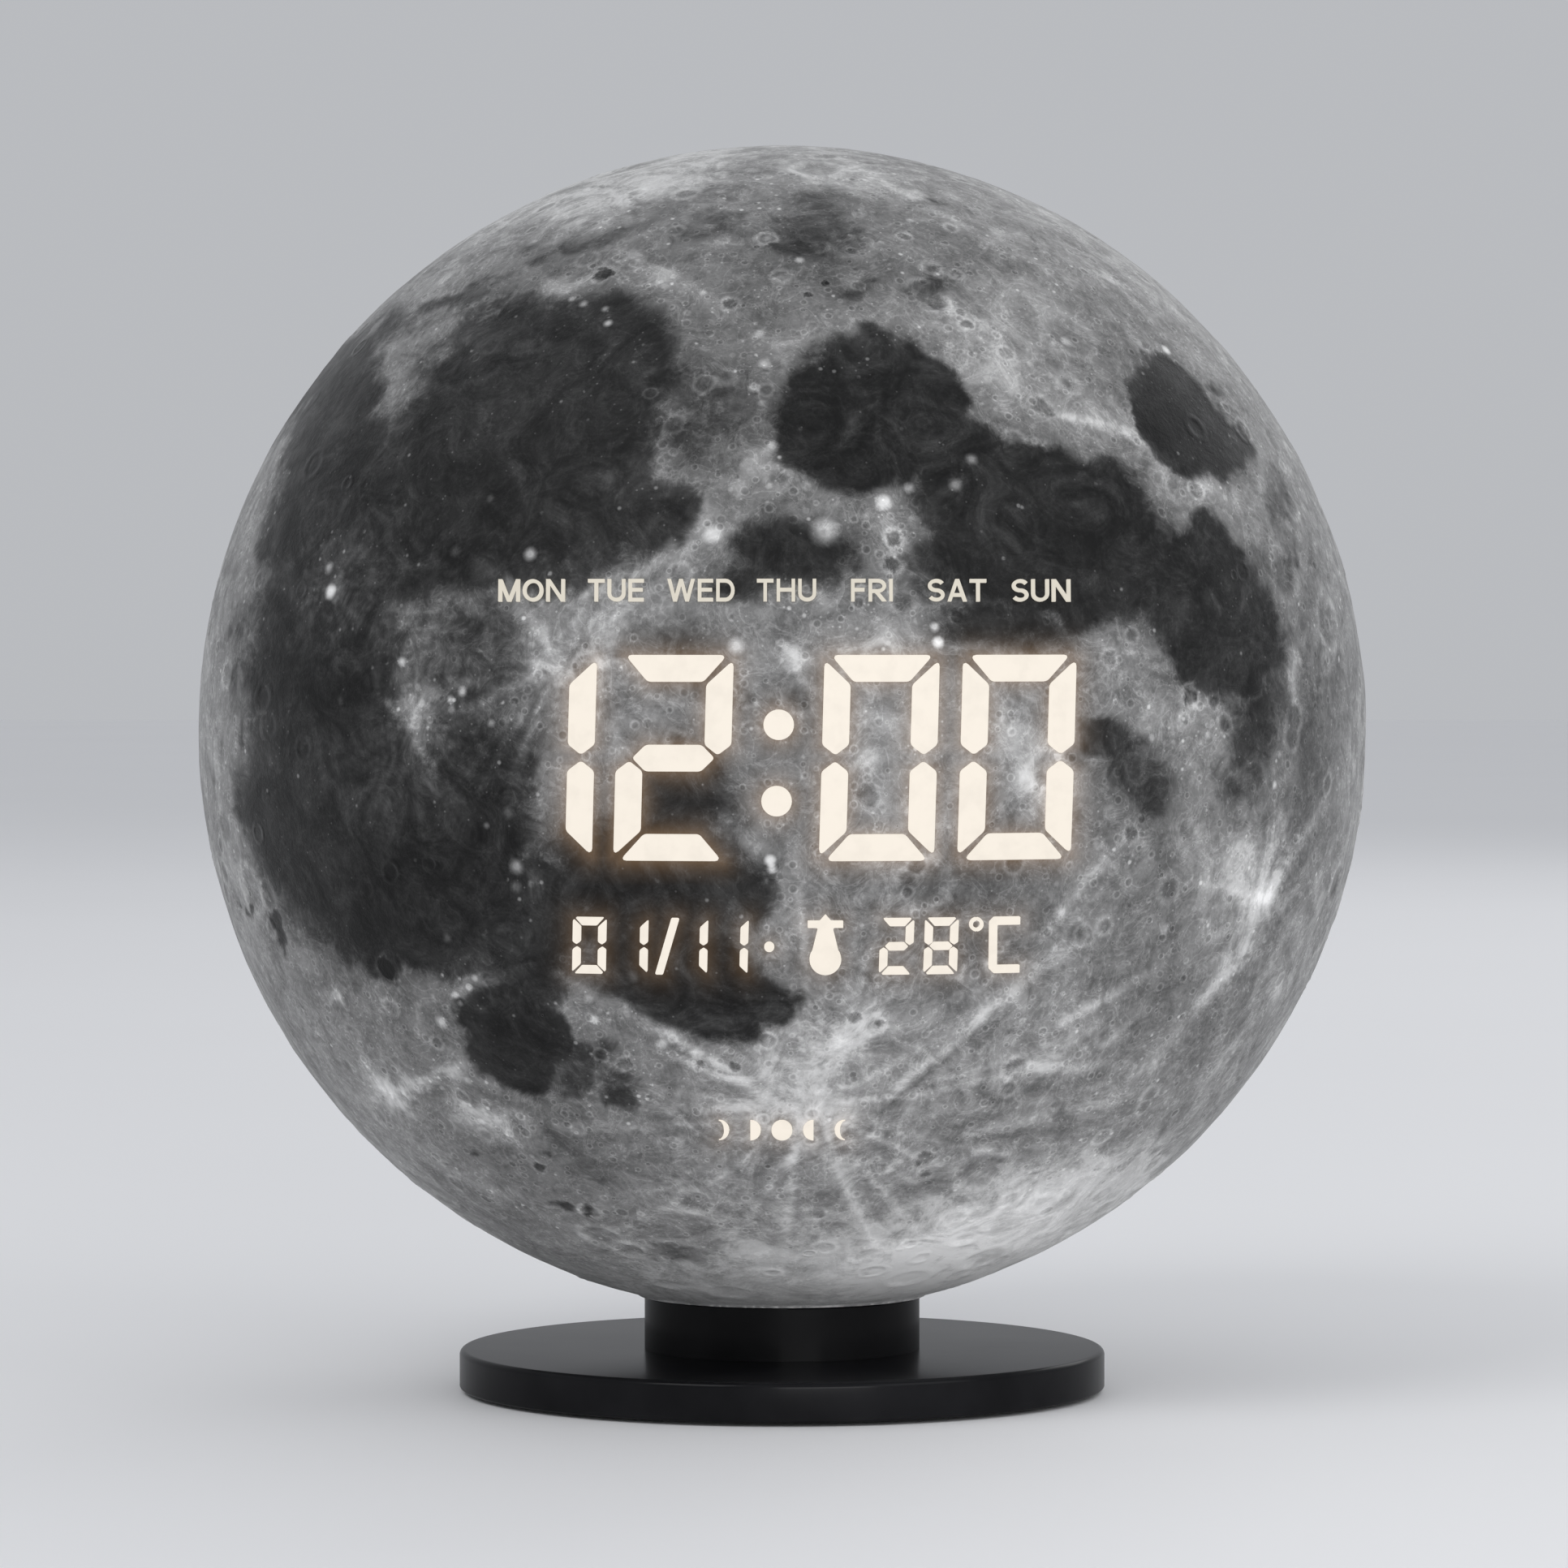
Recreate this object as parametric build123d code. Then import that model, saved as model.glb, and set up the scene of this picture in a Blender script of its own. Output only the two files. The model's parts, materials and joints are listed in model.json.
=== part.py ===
from build123d import *
import math
import os

# Moon globe desk clock: a hollow moon globe with a light display behind its front,
# standing on a round collar and a thin round base. Millimetres, +Z up, front towards -Y,
# origin on the table under the middle of the base.

# Driving dimensions

# Globe
GLOBE_R = 75.0
GLOBE_WALL = 1.6
RIM_R = 18.6
RIM_LAND_H = 3.1
RIM_LAND_MARGIN = 1.4
RIM_BORE_R = 12.5
SEAM_RING_W = 6.0
SEAM_RING_T = 1.5
SEAM_RING_GAP = 0.15
SEAM_RING_LIFT = 5.0

# Clamp stack that holds the globe, the collar and the base together
STEM_R = 4.0
STEM_BORE_R = 2.8
STEM_TOP_ABOVE_CENTRE = 6.0
STEM_HOLE_GAP = 0.05
NUT_FLATS = 11.0
NUT_H = 2.5
THIN_NUT_H = 1.6
WASHER_R = 6.9
WASHER_T = 0.4
CLAMP_PLATE_R = 19.4
CLAMP_PLATE_T = 2.0
GASKET_R = 18.8
GASKET_T = 0.5
SPIGOT_GAP = 0.2

# Collar
COLLAR_R = 17.7
COLLAR_H = 6.85
COLLAR_WALL = 1.8
COLLAR_TOP_T = 1.6
COLLAR_EDGE_R = 0.3
PLINTH_H = 1.2
PLINTH_GAP = 0.2

# Base
BASE_R = 41.5
BASE_H = 5.0
BASE_WALL = 1.8
BASE_TOP_T = 1.4
BASE_TOP_CHAMFER = 0.6
BASE_FOOT_CHAMFER = 0.3
COVER_T = 1.2
COVER_GAP = 0.2
WEIGHT_T = 2.2
WEIGHT_BORE_R = 15.0
WEIGHT_RIM_GAP = 0.5
PAD_R = 4.5
PAD_T = 1.0
PAD_STAND = 0.5
PAD_RIM_GAP = 4.2
PAD_GAP = 0.1
PAD_COUNT = 4
PAD_START_DEG = 45.0

# Screws of the base cover
COVER_SCREW_COUNT = 3
COVER_SCREW_START_DEG = -90.0
COVER_BOSS_RIM_GAP = 2.1
COVER_SCREW_R = 1.0
COVER_SCREW_HEAD_R = 1.9
COVER_SCREW_HEAD_H = 0.9
COVER_SCREW_L = 2.9
COVER_BOSS_R = 2.6
SCREW_GAP = 0.1
DRIVE_SLOT_W = 0.4
DRIVE_SLOT_H = 0.3

# Backup cell and its door
CELL_R = 6.25
CELL_T = 2.0
CELL_BAY_R = 9.0
CELL_CONTACT_R = 4.0
CELL_SPRING_T = 0.2
CELL_SPRING_DEG = 60.0
CELL_LIFT = 0.1
DOOR_R = 8.0
DOOR_GAP = 0.15
DOOR_TAB_L = 1.3
DOOR_TAB_T = 0.5
DOOR_TAB_DEG = 36.0
DOOR_NOTCH_DEG = 44.0
DOOR_TURN_DEG = 60.0
DOOR_SLOT_W = 1.4
DOOR_SLOT_L = 9.0
DOOR_SLOT_H = 0.6
DOOR_RUN_GAP = 0.1
DOOR_RIM_GAP = 3.9

# Control board in the collar
BOARD_T = 0.8
BOARD_BUTTON_GAP = 0.4
BOARD_BORE_R = 5.0
BOARD_POST_H = 0.4
BOARD_POST_R = 1.5
BOARD_SCREW_RIM_GAP = 2.5
BOARD_SCREW_R = 0.8
BOARD_SCREW_HEAD_R = 1.4
BOARD_SCREW_HEAD_H = 0.8
BOARD_SCREW_DEPTH = 1.6
BOARD_SCREW_ANGLES_DEG = (225.0, 315.0)
CLOCK_CHIP_W = 5.0
CLOCK_CHIP_H = 1.2
CHIP_BORE_GAP = 0.3
CRYSTAL_L = 3.2
CRYSTAL_W = 1.5
CRYSTAL_H = 0.9
SENSOR_L = 1.6
SENSOR_W = 0.8
SENSOR_H = 0.6
SENSOR_RIM_GAP = 0.5
SENSOR_DEG = 5.0
VENT_R = 0.6
CABLE_PLUG_W = 6.0
CABLE_PLUG_D = 2.6
CABLE_PLUG_H = 2.6

# Power inlet
USB_W = 8.94
USB_H = 3.2
USB_L = 7.3
USB_SHEET = 0.3
USB_CORNER_R = 1.5
USB_RECESS = 0.1
USB_GAP = 0.15
USB_SINK = 0.8
TONGUE_W = 6.7
TONGUE_T = 0.7
TONGUE_L = 4.6

# Push buttons on the back of the collar
BUTTON_W = 5.0
BUTTON_H = 2.4
BUTTON_PROUD = 1.0
BUTTON_GAP = 0.1
BUTTON_TRAVEL = 0.5
BUTTON_FACE_R = 0.4
BUTTON_FLANGE_W = 6.0
BUTTON_FLANGE_T = 0.7
BUTTON_FLANGE_GAP = 0.3
BUTTON_POST_W = 1.6
BUTTON_POST_H = 1.2
BUTTON_POST_L = 0.9
PLUNGER_W = 1.2
PLUNGER_H = 1.0
PLUNGER_L = 1.3
SWITCH_W = 4.4
SWITCH_D = 2.0
SWITCH_H = 1.6
SWITCH_PROUD = 0.7
SWITCH_WELL_GAP = 0.1
BUTTON_SPACING = 0.2

# Display
GUIDE_GAP = 0.3
GUIDE_SIDE_GAP = 0.05
MASK_HALF_W = 39.0
MASK_UP = 22.0
MASK_DOWN = 31.0
MASK_EDGE_T = 2.0
MASK_CORNER_R = 4.0
DISPLAY_BOARD_T = 1.6
LED_T = 0.7
LED_L = 1.0
LED_W = 0.6
LED_GAP = 0.1
DIGIT_W = 14.0
DIGIT_H = 24.3
DIGIT_STROKE = 3.3
DIGIT_LEAN_DEG = 1.6
SEGMENT_GAP = 0.3
SMALL_SEGMENT_GAP = 0.16
TIME_MID_Z = -2.05
HOUR_TENS_X = -29.0
HOUR_UNITS_X = -12.8
MINUTE_TENS_X = 11.5
MINUTE_UNITS_X = 27.9
COLON_X = -0.5
COLON_Z = -2.6
COLON_R = 1.8
COLON_PITCH = 9.0
SMALL_DIGIT_W = 4.4
SMALL_DIGIT_H = 7.2
SMALL_STROKE = 0.85
SMALL_ROW_Z = -24.3
DATE_XS = (-22.9, -17.2, -9.9, -5.1)
DATE_SLASH_X = -13.9
DATE_DOT_X = -1.5
DATE_DOT_R = 0.6
TEMPERATURE_XS = (13.8, 19.0)
DEGREE_X = 23.1
DEGREE_R = 0.8
UNIT_X = 26.3
THERMOMETER_X = 5.15
THERMOMETER_BULB_R = 1.7
THERMOMETER_TUBE_W = 1.8
WEEKDAY_Z = 17.7
WEEKDAY_H = 3.6
WEEKDAY_W = 8.6
WEEKDAY_PITCH = 9.85
WEEKDAY_COUNT = 7
WEEKDAY_CORNER_R = 0.8
FILM_T = 0.12
PHASE_Z = -47.2
PHASE_R = 1.45
PHASE_PITCH = 3.5
PHASE_MARGIN = 1.6
PHASE_COUNT = 5
CRESCENT_SHARE = 0.5
HALF_MOON_SHARE = 0.0

# Bracket that carries the display
BRACKET_HALF_W = 16.0
BRACKET_UP = 17.0
BRACKET_DOWN = 30.0
BRACKET_T = 1.6
BRACKET_STANDOFF = 3.0
BRACKET_WINDOW_W = 12.0
BRACKET_WINDOW_H = 8.0
BRACKET_ARM_W = 7.0
BRACKET_ARM_T = 4.0
BRACKET_RING_R = 7.5
UPPER_ARM_Z = -4.0
LOWER_ARM_Z = -26.0
GRUB_R = 1.5
DISPLAY_SCREW_R = 1.2
DISPLAY_SCREW_HEAD_R = 2.2
DISPLAY_SCREW_HEAD_H = 1.6
DISPLAY_SCREW_BITE = 1.2
DISPLAY_SCREW_X = 12.0
DISPLAY_SCREW_UP = 13.0
DISPLAY_SCREW_DOWN = 17.4
STANDOFF_R = 2.6
DRIVER_CHIP_W = 8.0
DRIVER_CHIP_H = 1.4
DRIVER_CHIP_Z = 5.5

# Cables inside
CABLE_R = 1.0
CABLE_X = -1.2
CABLE_BEND_LOW_R = 2.6
CABLE_BEND_HIGH_R = 6.0
CABLE_LEAVE_Z = -16.0
LAMP_WIRE_R = 0.7
LAMP_WIRE_X = 1.6
STEM_SLOT_W = 5.0
STEM_SLOT_H = 5.0
CABLE_RISE = 1.3
CELL_WIRE_R = 0.45
CELL_WIRE_X = 0.8
CELL_WIRE_BEND_R = 2.0
CELL_WIRE_Z_GAP = 0.9
CELL_WIRE_HOLE_R = 1.7
CELL_WIRE_HOLE_GAP = 0.2

# Night light on top of the stem
LAMP_BOARD_R = 14.6
LAMP_BOARD_T = 1.6
LAMP_LED_W = 2.8
LAMP_LED_H = 1.4
LAMP_LED_CIRCLE_R = 10.2
LAMP_LED_COUNT = 8
DOME_WALL = 1.2
DOME_GAP = 0.2
DOME_LEDGE_T = 1.0
DOME_LEDGE_W = 1.6

# One overrun serves every cut
OVER = 1.0

# Heights that follow from the sizes
COVER_Z = PAD_STAND
COVER_TOP_Z = COVER_Z + COVER_T
BASE_TOP_Z = PAD_STAND + BASE_H
BASE_CEILING_Z = BASE_TOP_Z - BASE_TOP_T
PLINTH_TOP_Z = BASE_TOP_Z + PLINTH_H
COLLAR_TOP_Z = BASE_TOP_Z + COLLAR_H
COLLAR_CEILING_Z = COLLAR_TOP_Z - COLLAR_TOP_T
GLOBE_Z = COLLAR_TOP_Z + math.sqrt(GLOBE_R ** 2 - RIM_R ** 2)
RIM_LAND_Z = COLLAR_TOP_Z + RIM_LAND_H
CLAMP_PLATE_Z = RIM_LAND_Z + GASKET_T
CLAMP_TOP_Z = CLAMP_PLATE_Z + CLAMP_PLATE_T
BOARD_Z = PLINTH_TOP_Z + BOARD_POST_H
BOARD_TOP_Z = BOARD_Z + BOARD_T
NUT_TOP_Z = BASE_CEILING_Z - WASHER_T
STEM_Z = NUT_TOP_Z - THIN_NUT_H
STEM_TOP_Z = GLOBE_Z + STEM_TOP_ABOVE_CENTRE
LAMP_BOARD_Z = STEM_TOP_Z - NUT_H - LAMP_BOARD_T
CONTROL_Z = BOARD_TOP_Z - USB_SINK + USB_H / 2
INNER_R = GLOBE_R - GLOBE_WALL
MASK_R = INNER_R - GUIDE_GAP
PHASE_HALF_W = PHASE_PITCH * (PHASE_COUNT - 1) / 2 + PHASE_R + PHASE_MARGIN
PHASE_DOWN = -PHASE_Z + PHASE_R + PHASE_MARGIN
MASK_REACH = max(math.hypot(MASK_HALF_W, MASK_DOWN), math.hypot(PHASE_HALF_W, PHASE_DOWN))
MASK_BACK_Y = -(math.sqrt(MASK_R ** 2 - MASK_REACH ** 2) - MASK_EDGE_T)
DISPLAY_BOARD_BACK_Y = MASK_BACK_Y + DISPLAY_BOARD_T
BRACKET_Y = DISPLAY_BOARD_BACK_Y + BRACKET_STANDOFF
BRACKET_BACK_Y = BRACKET_Y + BRACKET_T
CABLE_Z = BOARD_TOP_Z + CABLE_RISE

# Places that follow from the sizes
PAD_CIRCLE_R = BASE_R - BASE_WALL - PAD_R - PAD_RIM_GAP
COVER_SCREW_CIRCLE_R = BASE_R - BASE_WALL - COVER_BOSS_R - COVER_BOSS_RIM_GAP
CELL_Y = BASE_R - BASE_WALL - DOOR_R - DOOR_TAB_L - DOOR_RIM_GAP
CELL_WIRE_HOLE_Y = WASHER_R + CELL_WIRE_HOLE_R + CELL_WIRE_HOLE_GAP
FLANGE_FACE_R = math.sqrt((COLLAR_R - COLLAR_WALL) ** 2 - (BUTTON_FLANGE_W / 2) ** 2) - BUTTON_FLANGE_GAP
BOARD_R = FLANGE_FACE_R - BUTTON_FLANGE_T - BUTTON_TRAVEL - BOARD_BUTTON_GAP
BOARD_SCREW_CIRCLE_R = BOARD_R - BOARD_SCREW_RIM_GAP
CLOCK_CHIP_X = BOARD_BORE_R + CHIP_BORE_GAP + CLOCK_CHIP_W / 2
CRYSTAL_X = BOARD_BORE_R + CHIP_BORE_GAP + CRYSTAL_W / 2
SENSOR_R = BOARD_R - SENSOR_RIM_GAP - SENSOR_L / 2
POST_END_R = FLANGE_FACE_R - BUTTON_FLANGE_T - BUTTON_POST_L
SWITCH_BACK_R = POST_END_R - SWITCH_PROUD - SWITCH_D

# Buttons stand clear of the power inlet and of each other, in pairs about the back
INLET_SIDE = USB_W / 2 + USB_GAP + BUTTON_SPACING
INLET_HALF_DEG = math.degrees(math.asin(INLET_SIDE / SWITCH_BACK_R))
SWITCH_HALF_DEG = math.degrees(math.asin(SWITCH_W / 2 / SWITCH_BACK_R))
FLANGE_SIDE = BUTTON_FLANGE_W / 2 + BUTTON_SPACING / 2
FLANGE_HALF_DEG = math.degrees(math.asin(FLANGE_SIDE / (FLANGE_FACE_R - BUTTON_FLANGE_T)))
NEAR_BUTTON_DEG = INLET_HALF_DEG + SWITCH_HALF_DEG
FAR_BUTTON_DEG = NEAR_BUTTON_DEG + 2 * FLANGE_HALF_DEG
BACK_DEG = 90.0
BUTTON_ANGLES_DEG = {
    "set": BACK_DEG + FAR_BUTTON_DEG,
    "down": BACK_DEG + NEAR_BUTTON_DEG,
    "up": BACK_DEG - NEAR_BUTTON_DEG,
    "light": BACK_DEG - FAR_BUTTON_DEG,
}

UP = (Align.CENTER, Align.CENTER, Align.MIN)


# Helpers

def disc(radius, height, z, x=0, y=0):
    """Upright solid disc that stands on height z."""
    return Pos(x, y, z) * Cylinder(radius, height, align=UP)


def ring(outer_r, inner_r, height, z, x=0, y=0):
    """Upright ring that stands on height z."""
    return disc(outer_r, height, z, x, y) - disc(inner_r, height + 2 * OVER, z - OVER, x, y)


def polar(radius, angle_deg):
    """Place on a circle about the upright axis."""
    angle = math.radians(angle_deg)
    return radius * math.cos(angle), radius * math.sin(angle)


def spread(count, start_deg):
    """Evenly spaced angles of a pattern."""
    return [start_deg + 360.0 * index / count for index in range(count)]


def block(width, depth, height, x, y, z):
    """Box centred on x and y that stands on height z."""
    return Pos(x, y, z) * Box(width, depth, height, align=UP)


def radial_block(near_r, far_r, width, height, z_mid, angle_deg):
    """Box that lies along a radius of the collar, from near_r out to far_r."""
    length = far_r - near_r
    body = Pos(near_r + length / 2, 0, z_mid) * Box(length, width, height)
    return Rot(0, 0, angle_deg) * body


def ball(radius):
    """Ball about the globe's centre."""
    return Pos(0, 0, GLOBE_Z) * Sphere(radius)


def hex_nut(height, z):
    """Hexagon nut round the stem."""
    corner_r = NUT_FLATS / math.sqrt(3)
    outline = RegularPolygon(corner_r, 6)
    nut = Pos(0, 0, z) * extrude(outline, height)
    return nut - disc(STEM_R + STEM_HOLE_GAP, height + 2 * OVER, z - OVER)


def turned_left(points):
    """The same outline, running anticlockwise."""
    pairs = zip(points, points[1:] + points[:1])
    doubled_area = sum(x0 * z1 - x1 * z0 for (x0, z0), (x1, z1) in pairs)
    return points if doubled_area > 0 else points[::-1]


def forward_prism(points, front_y, back_y, grow=0.0):
    """Prism along Y over an outline given as (x, height above the globe's centre)."""
    outline = Polygon(*turned_left(points), align=None)
    if grow:
        outline = offset(outline, grow, kind=Kind.INTERSECTION)
    solid = extrude(Plane.XZ * outline, back_y - front_y)
    return Pos(0, back_y, GLOBE_Z) * solid


def forward_disc(radius, x, height, front_y, back_y):
    """Round bar along Y at x and a height above the globe's centre."""
    length = back_y - front_y
    bar = Rot(90, 0, 0) * Cylinder(radius, length)
    return Pos(x, (front_y + back_y) / 2, GLOBE_Z + height) * bar


def tube(points, bend_radii, radius):
    """Round tube along straight runs with arcs at the corners."""
    path = FilletPolyline(*points, radius=bend_radii)
    start = Plane(origin=path @ 0, z_dir=path % 0)
    return sweep(start * Circle(radius), path)


# Globe

def rim_land():
    """Thick flat rim on which the globe stands."""
    land = disc(RIM_R + RIM_LAND_MARGIN, RIM_LAND_H, COLLAR_TOP_Z)
    return land & ball(GLOBE_R)


def globe_shell():
    """Whole hollow globe, cut flat where it stands."""
    shell = ball(GLOBE_R) - ball(INNER_R)
    shell -= disc(GLOBE_R, COLLAR_TOP_Z + GLOBE_R, -GLOBE_R)
    shell += rim_land()
    return shell - disc(RIM_BORE_R, GLOBE_R, COLLAR_TOP_Z - OVER)


def half_space(sign):
    """Box that holds the front half for sign -1, the rear half for sign 1."""
    depth = GLOBE_R + OVER
    return Pos(0, sign * depth / 2, GLOBE_Z) * Box(2 * depth, depth, 2 * depth)


def seam_ring():
    """Flat hoop inside the seam that lines up the two halves."""
    outer_r = math.sqrt(INNER_R ** 2 - (SEAM_RING_W / 2) ** 2) - SEAM_RING_GAP
    hoop = Cylinder(outer_r, SEAM_RING_W) - Cylinder(outer_r - SEAM_RING_T, SEAM_RING_W + 2 * OVER)
    hoop = Pos(0, 0, GLOBE_Z) * (Rot(90, 0, 0) * hoop)
    return hoop - disc(GLOBE_R, CLAMP_TOP_Z + SEAM_RING_LIFT, 0)


# Clamp stack

def clamp_plate():
    """Plate inside the globe with a spigot that centres the rim."""
    plate = disc(CLAMP_PLATE_R, CLAMP_PLATE_T, CLAMP_PLATE_Z)
    spigot_z = COLLAR_TOP_Z + SPIGOT_GAP
    plate += disc(RIM_BORE_R - SPIGOT_GAP, CLAMP_PLATE_Z - spigot_z, spigot_z)
    return plate - disc(STEM_R + STEM_HOLE_GAP, GLOBE_R, 0)


def clamp_gasket():
    """Soft ring under the clamp plate."""
    return ring(GASKET_R, RIM_BORE_R, GASKET_T, RIM_LAND_Z)


def stem_slot(z_mid, drop):
    """Cut through the front wall of the stem for a cable."""
    depth = STEM_R + OVER
    height = STEM_SLOT_H + drop
    return Pos(0, -depth / 2, z_mid - drop / 2) * Box(STEM_SLOT_W, depth, height)


def stem_tube():
    """Hollow threaded stem through base, collar and globe."""
    stem = ring(STEM_R, STEM_BORE_R, STEM_TOP_Z - STEM_Z, STEM_Z)
    low_slot_z = CABLE_Z + CABLE_R
    stem -= stem_slot(low_slot_z, 0)
    return stem - stem_slot(GLOBE_Z + CABLE_LEAVE_Z, 0)


# Collar

def collar():
    """Round cap between base and globe, windowed at the back."""
    body = disc(COLLAR_R, COLLAR_H, BASE_TOP_Z)
    body = fillet(body.edges().group_by(Axis.Z)[-1], COLLAR_EDGE_R)
    body -= disc(COLLAR_R - COLLAR_WALL, COLLAR_CEILING_Z - BASE_TOP_Z + OVER, BASE_TOP_Z - OVER)
    body -= disc(STEM_R + STEM_HOLE_GAP, COLLAR_H + OVER, BASE_TOP_Z)
    inner_r = COLLAR_R - COLLAR_WALL - OVER
    for angle in BUTTON_ANGLES_DEG.values():
        width = BUTTON_W + 2 * BUTTON_GAP
        height = BUTTON_H + 2 * BUTTON_GAP
        body -= radial_block(inner_r, COLLAR_R + OVER, width, height, CONTROL_Z, angle)
    body -= usb_profile(USB_GAP, COLLAR_WALL + 2 * OVER, inner_r)
    vent = Pos(COLLAR_R, 0, CONTROL_Z) * (Rot(0, 90, 0) * Cylinder(VENT_R, 4 * COLLAR_WALL))
    return body - Rot(0, 0, SENSOR_DEG) * vent


def usb_profile(grow, length, near_y):
    """Rounded slot shape of the power inlet along Y."""
    width = USB_W + 2 * grow
    height = USB_H + 2 * grow
    outline = Plane.XZ * RectangleRounded(width, height, USB_CORNER_R + grow)
    solid = extrude(outline, -length)
    return Pos(0, near_y, CONTROL_Z) * solid


def usb_mouth_y():
    """Where the inlet's mouth lies, just inside the collar's face."""
    return math.sqrt(COLLAR_R ** 2 - (USB_W / 2) ** 2) - USB_RECESS


def usb_socket():
    """Folded sheet shell of the power inlet."""
    near_y = usb_mouth_y() - USB_L
    shell = usb_profile(0, USB_L, near_y)
    return shell - usb_profile(-USB_SHEET, USB_L, near_y + USB_SHEET)


def usb_tongue():
    """Contact tongue inside the power inlet."""
    near_y = usb_mouth_y() - USB_L + USB_SHEET
    return Pos(0, near_y + TONGUE_L / 2, CONTROL_Z) * Box(TONGUE_W, TONGUE_L, TONGUE_T)


# Base

def cover_bosses():
    """Bosses under the base's top that take the cover screws."""
    height = BASE_CEILING_Z - COVER_TOP_Z
    bosses = []
    for angle in spread(COVER_SCREW_COUNT, COVER_SCREW_START_DEG):
        x, y = polar(COVER_SCREW_CIRCLE_R, angle)
        bosses.append(disc(COVER_BOSS_R, height + BASE_TOP_T / 2, COVER_TOP_Z, x, y))
    return bosses


def base_disc():
    """Shallow round base, open below, with a plinth for the collar."""
    body = disc(BASE_R, BASE_H, PAD_STAND)
    body = chamfer(body.edges().group_by(Axis.Z)[-1], BASE_TOP_CHAMFER)
    body = chamfer(body.edges().group_by(Axis.Z)[0], BASE_FOOT_CHAMFER)
    body -= disc(BASE_R - BASE_WALL, BASE_CEILING_Z, 0)
    plinth_z = BASE_TOP_Z - BASE_TOP_T / 2
    body += disc(COLLAR_R - COLLAR_WALL - PLINTH_GAP, PLINTH_TOP_Z - plinth_z, plinth_z)
    for angle in BOARD_SCREW_ANGLES_DEG:
        for side in (1, -1):
            x, y = polar(side * BOARD_SCREW_CIRCLE_R, angle)
            body += disc(BOARD_POST_R, BOARD_Z - BASE_TOP_Z, BASE_TOP_Z, x, y)
    for boss in cover_bosses():
        body += boss
    body -= disc(STEM_R + STEM_HOLE_GAP, BOARD_Z + OVER, 0)
    body -= disc(CELL_WIRE_HOLE_R, BOARD_Z + OVER, 0, 0, CELL_WIRE_HOLE_Y)
    for screw in cover_screws(SCREW_GAP):
        body -= screw
    for screw in board_screws(SCREW_GAP):
        body -= screw
    return body


def cell_wire_slot():
    """Channel from the cell bay to the middle of the base."""
    depth = CELL_Y
    return block(4 * CELL_WIRE_X, depth, BASE_H, 0, CELL_Y - depth / 2, 0)


def base_weight():
    """Flat steel ring that steadies the globe."""
    outer_r = BASE_R - BASE_WALL - WEIGHT_RIM_GAP
    plate = ring(outer_r, WEIGHT_BORE_R, WEIGHT_T, COVER_TOP_Z)
    for angle in spread(COVER_SCREW_COUNT, COVER_SCREW_START_DEG):
        x, y = polar(COVER_SCREW_CIRCLE_R, angle)
        plate -= disc(COVER_BOSS_R + PLINTH_GAP, BASE_H, 0, x, y)
    plate -= disc(CELL_BAY_R, BASE_H, 0, 0, CELL_Y)
    return plate - cell_wire_slot()


def sector(radius, height, z, mid_deg, sweep_deg):
    """Upright wedge of a disc about the cell's axis."""
    half = math.radians(sweep_deg / 2)
    far = 2 * radius
    points = [(0, 0), (far, -far * math.tan(half)), (far, far * math.tan(half))]
    wedge = extrude(Polygon(*points, align=None), height)
    wedge = wedge & Cylinder(radius, height, align=UP)
    return Pos(0, CELL_Y, z) * (Rot(0, 0, mid_deg) * wedge)


def foot_pad_places():
    """Middle of each foot pad."""
    return [polar(PAD_CIRCLE_R, angle) for angle in spread(PAD_COUNT, PAD_START_DEG)]


def base_cover():
    """Bottom plate with the door opening, pad recesses and screw holes."""
    plate = disc(BASE_R - BASE_WALL - COVER_GAP, COVER_T, COVER_Z)
    for x, y in foot_pad_places():
        plate -= disc(PAD_R + PAD_GAP, PAD_T, 0, x, y)
    for screw in cover_screws(SCREW_GAP):
        plate -= screw
    plate -= disc(DOOR_R + DOOR_GAP, BASE_H, 0, 0, CELL_Y)
    ledge_top = COVER_TOP_Z - DOOR_TAB_T - DOOR_RUN_GAP
    tab_r = DOOR_R + DOOR_TAB_L + DOOR_GAP
    plate -= disc(tab_r, COVER_T, ledge_top, 0, CELL_Y)
    for angle in (DOOR_TURN_DEG, DOOR_TURN_DEG + 180.0):
        plate -= sector(tab_r, COVER_T + OVER, COVER_Z - OVER, angle, DOOR_NOTCH_DEG)
    return plate


def battery_door():
    """Round door with two tabs and a coin slot."""
    door = disc(DOOR_R, COVER_T, COVER_Z, 0, CELL_Y)
    for angle in (0.0, 180.0):
        door += sector(DOOR_R + DOOR_TAB_L, DOOR_TAB_T, COVER_TOP_Z - DOOR_TAB_T, angle, DOOR_TAB_DEG)
    slot = block(DOOR_SLOT_L, DOOR_SLOT_W, DOOR_SLOT_H + OVER, 0, CELL_Y, COVER_Z - OVER)
    return door - slot


def foot_pads():
    """Soft pads that stand out under the cover."""
    return [disc(PAD_R, PAD_T, 0, x, y) for x, y in foot_pad_places()]


def cover_screws(grow=0.0):
    """Countersunk screws of the cover, or their holes when grown."""
    screws = []
    for angle in spread(COVER_SCREW_COUNT, COVER_SCREW_START_DEG):
        x, y = polar(COVER_SCREW_CIRCLE_R, angle)
        head_r = COVER_SCREW_HEAD_R + grow
        shank_r = COVER_SCREW_R + grow
        head = Pos(x, y, COVER_Z) * Cone(head_r, shank_r, COVER_SCREW_HEAD_H, align=UP)
        screw = head + disc(shank_r, COVER_SCREW_L + grow, COVER_Z, x, y)
        if not grow:
            screw -= block(COVER_SCREW_HEAD_R, DRIVE_SLOT_W, 2 * DRIVE_SLOT_H, x, y, COVER_Z - DRIVE_SLOT_H)
        screws.append(screw)
    return screws


# Backup cell

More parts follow.
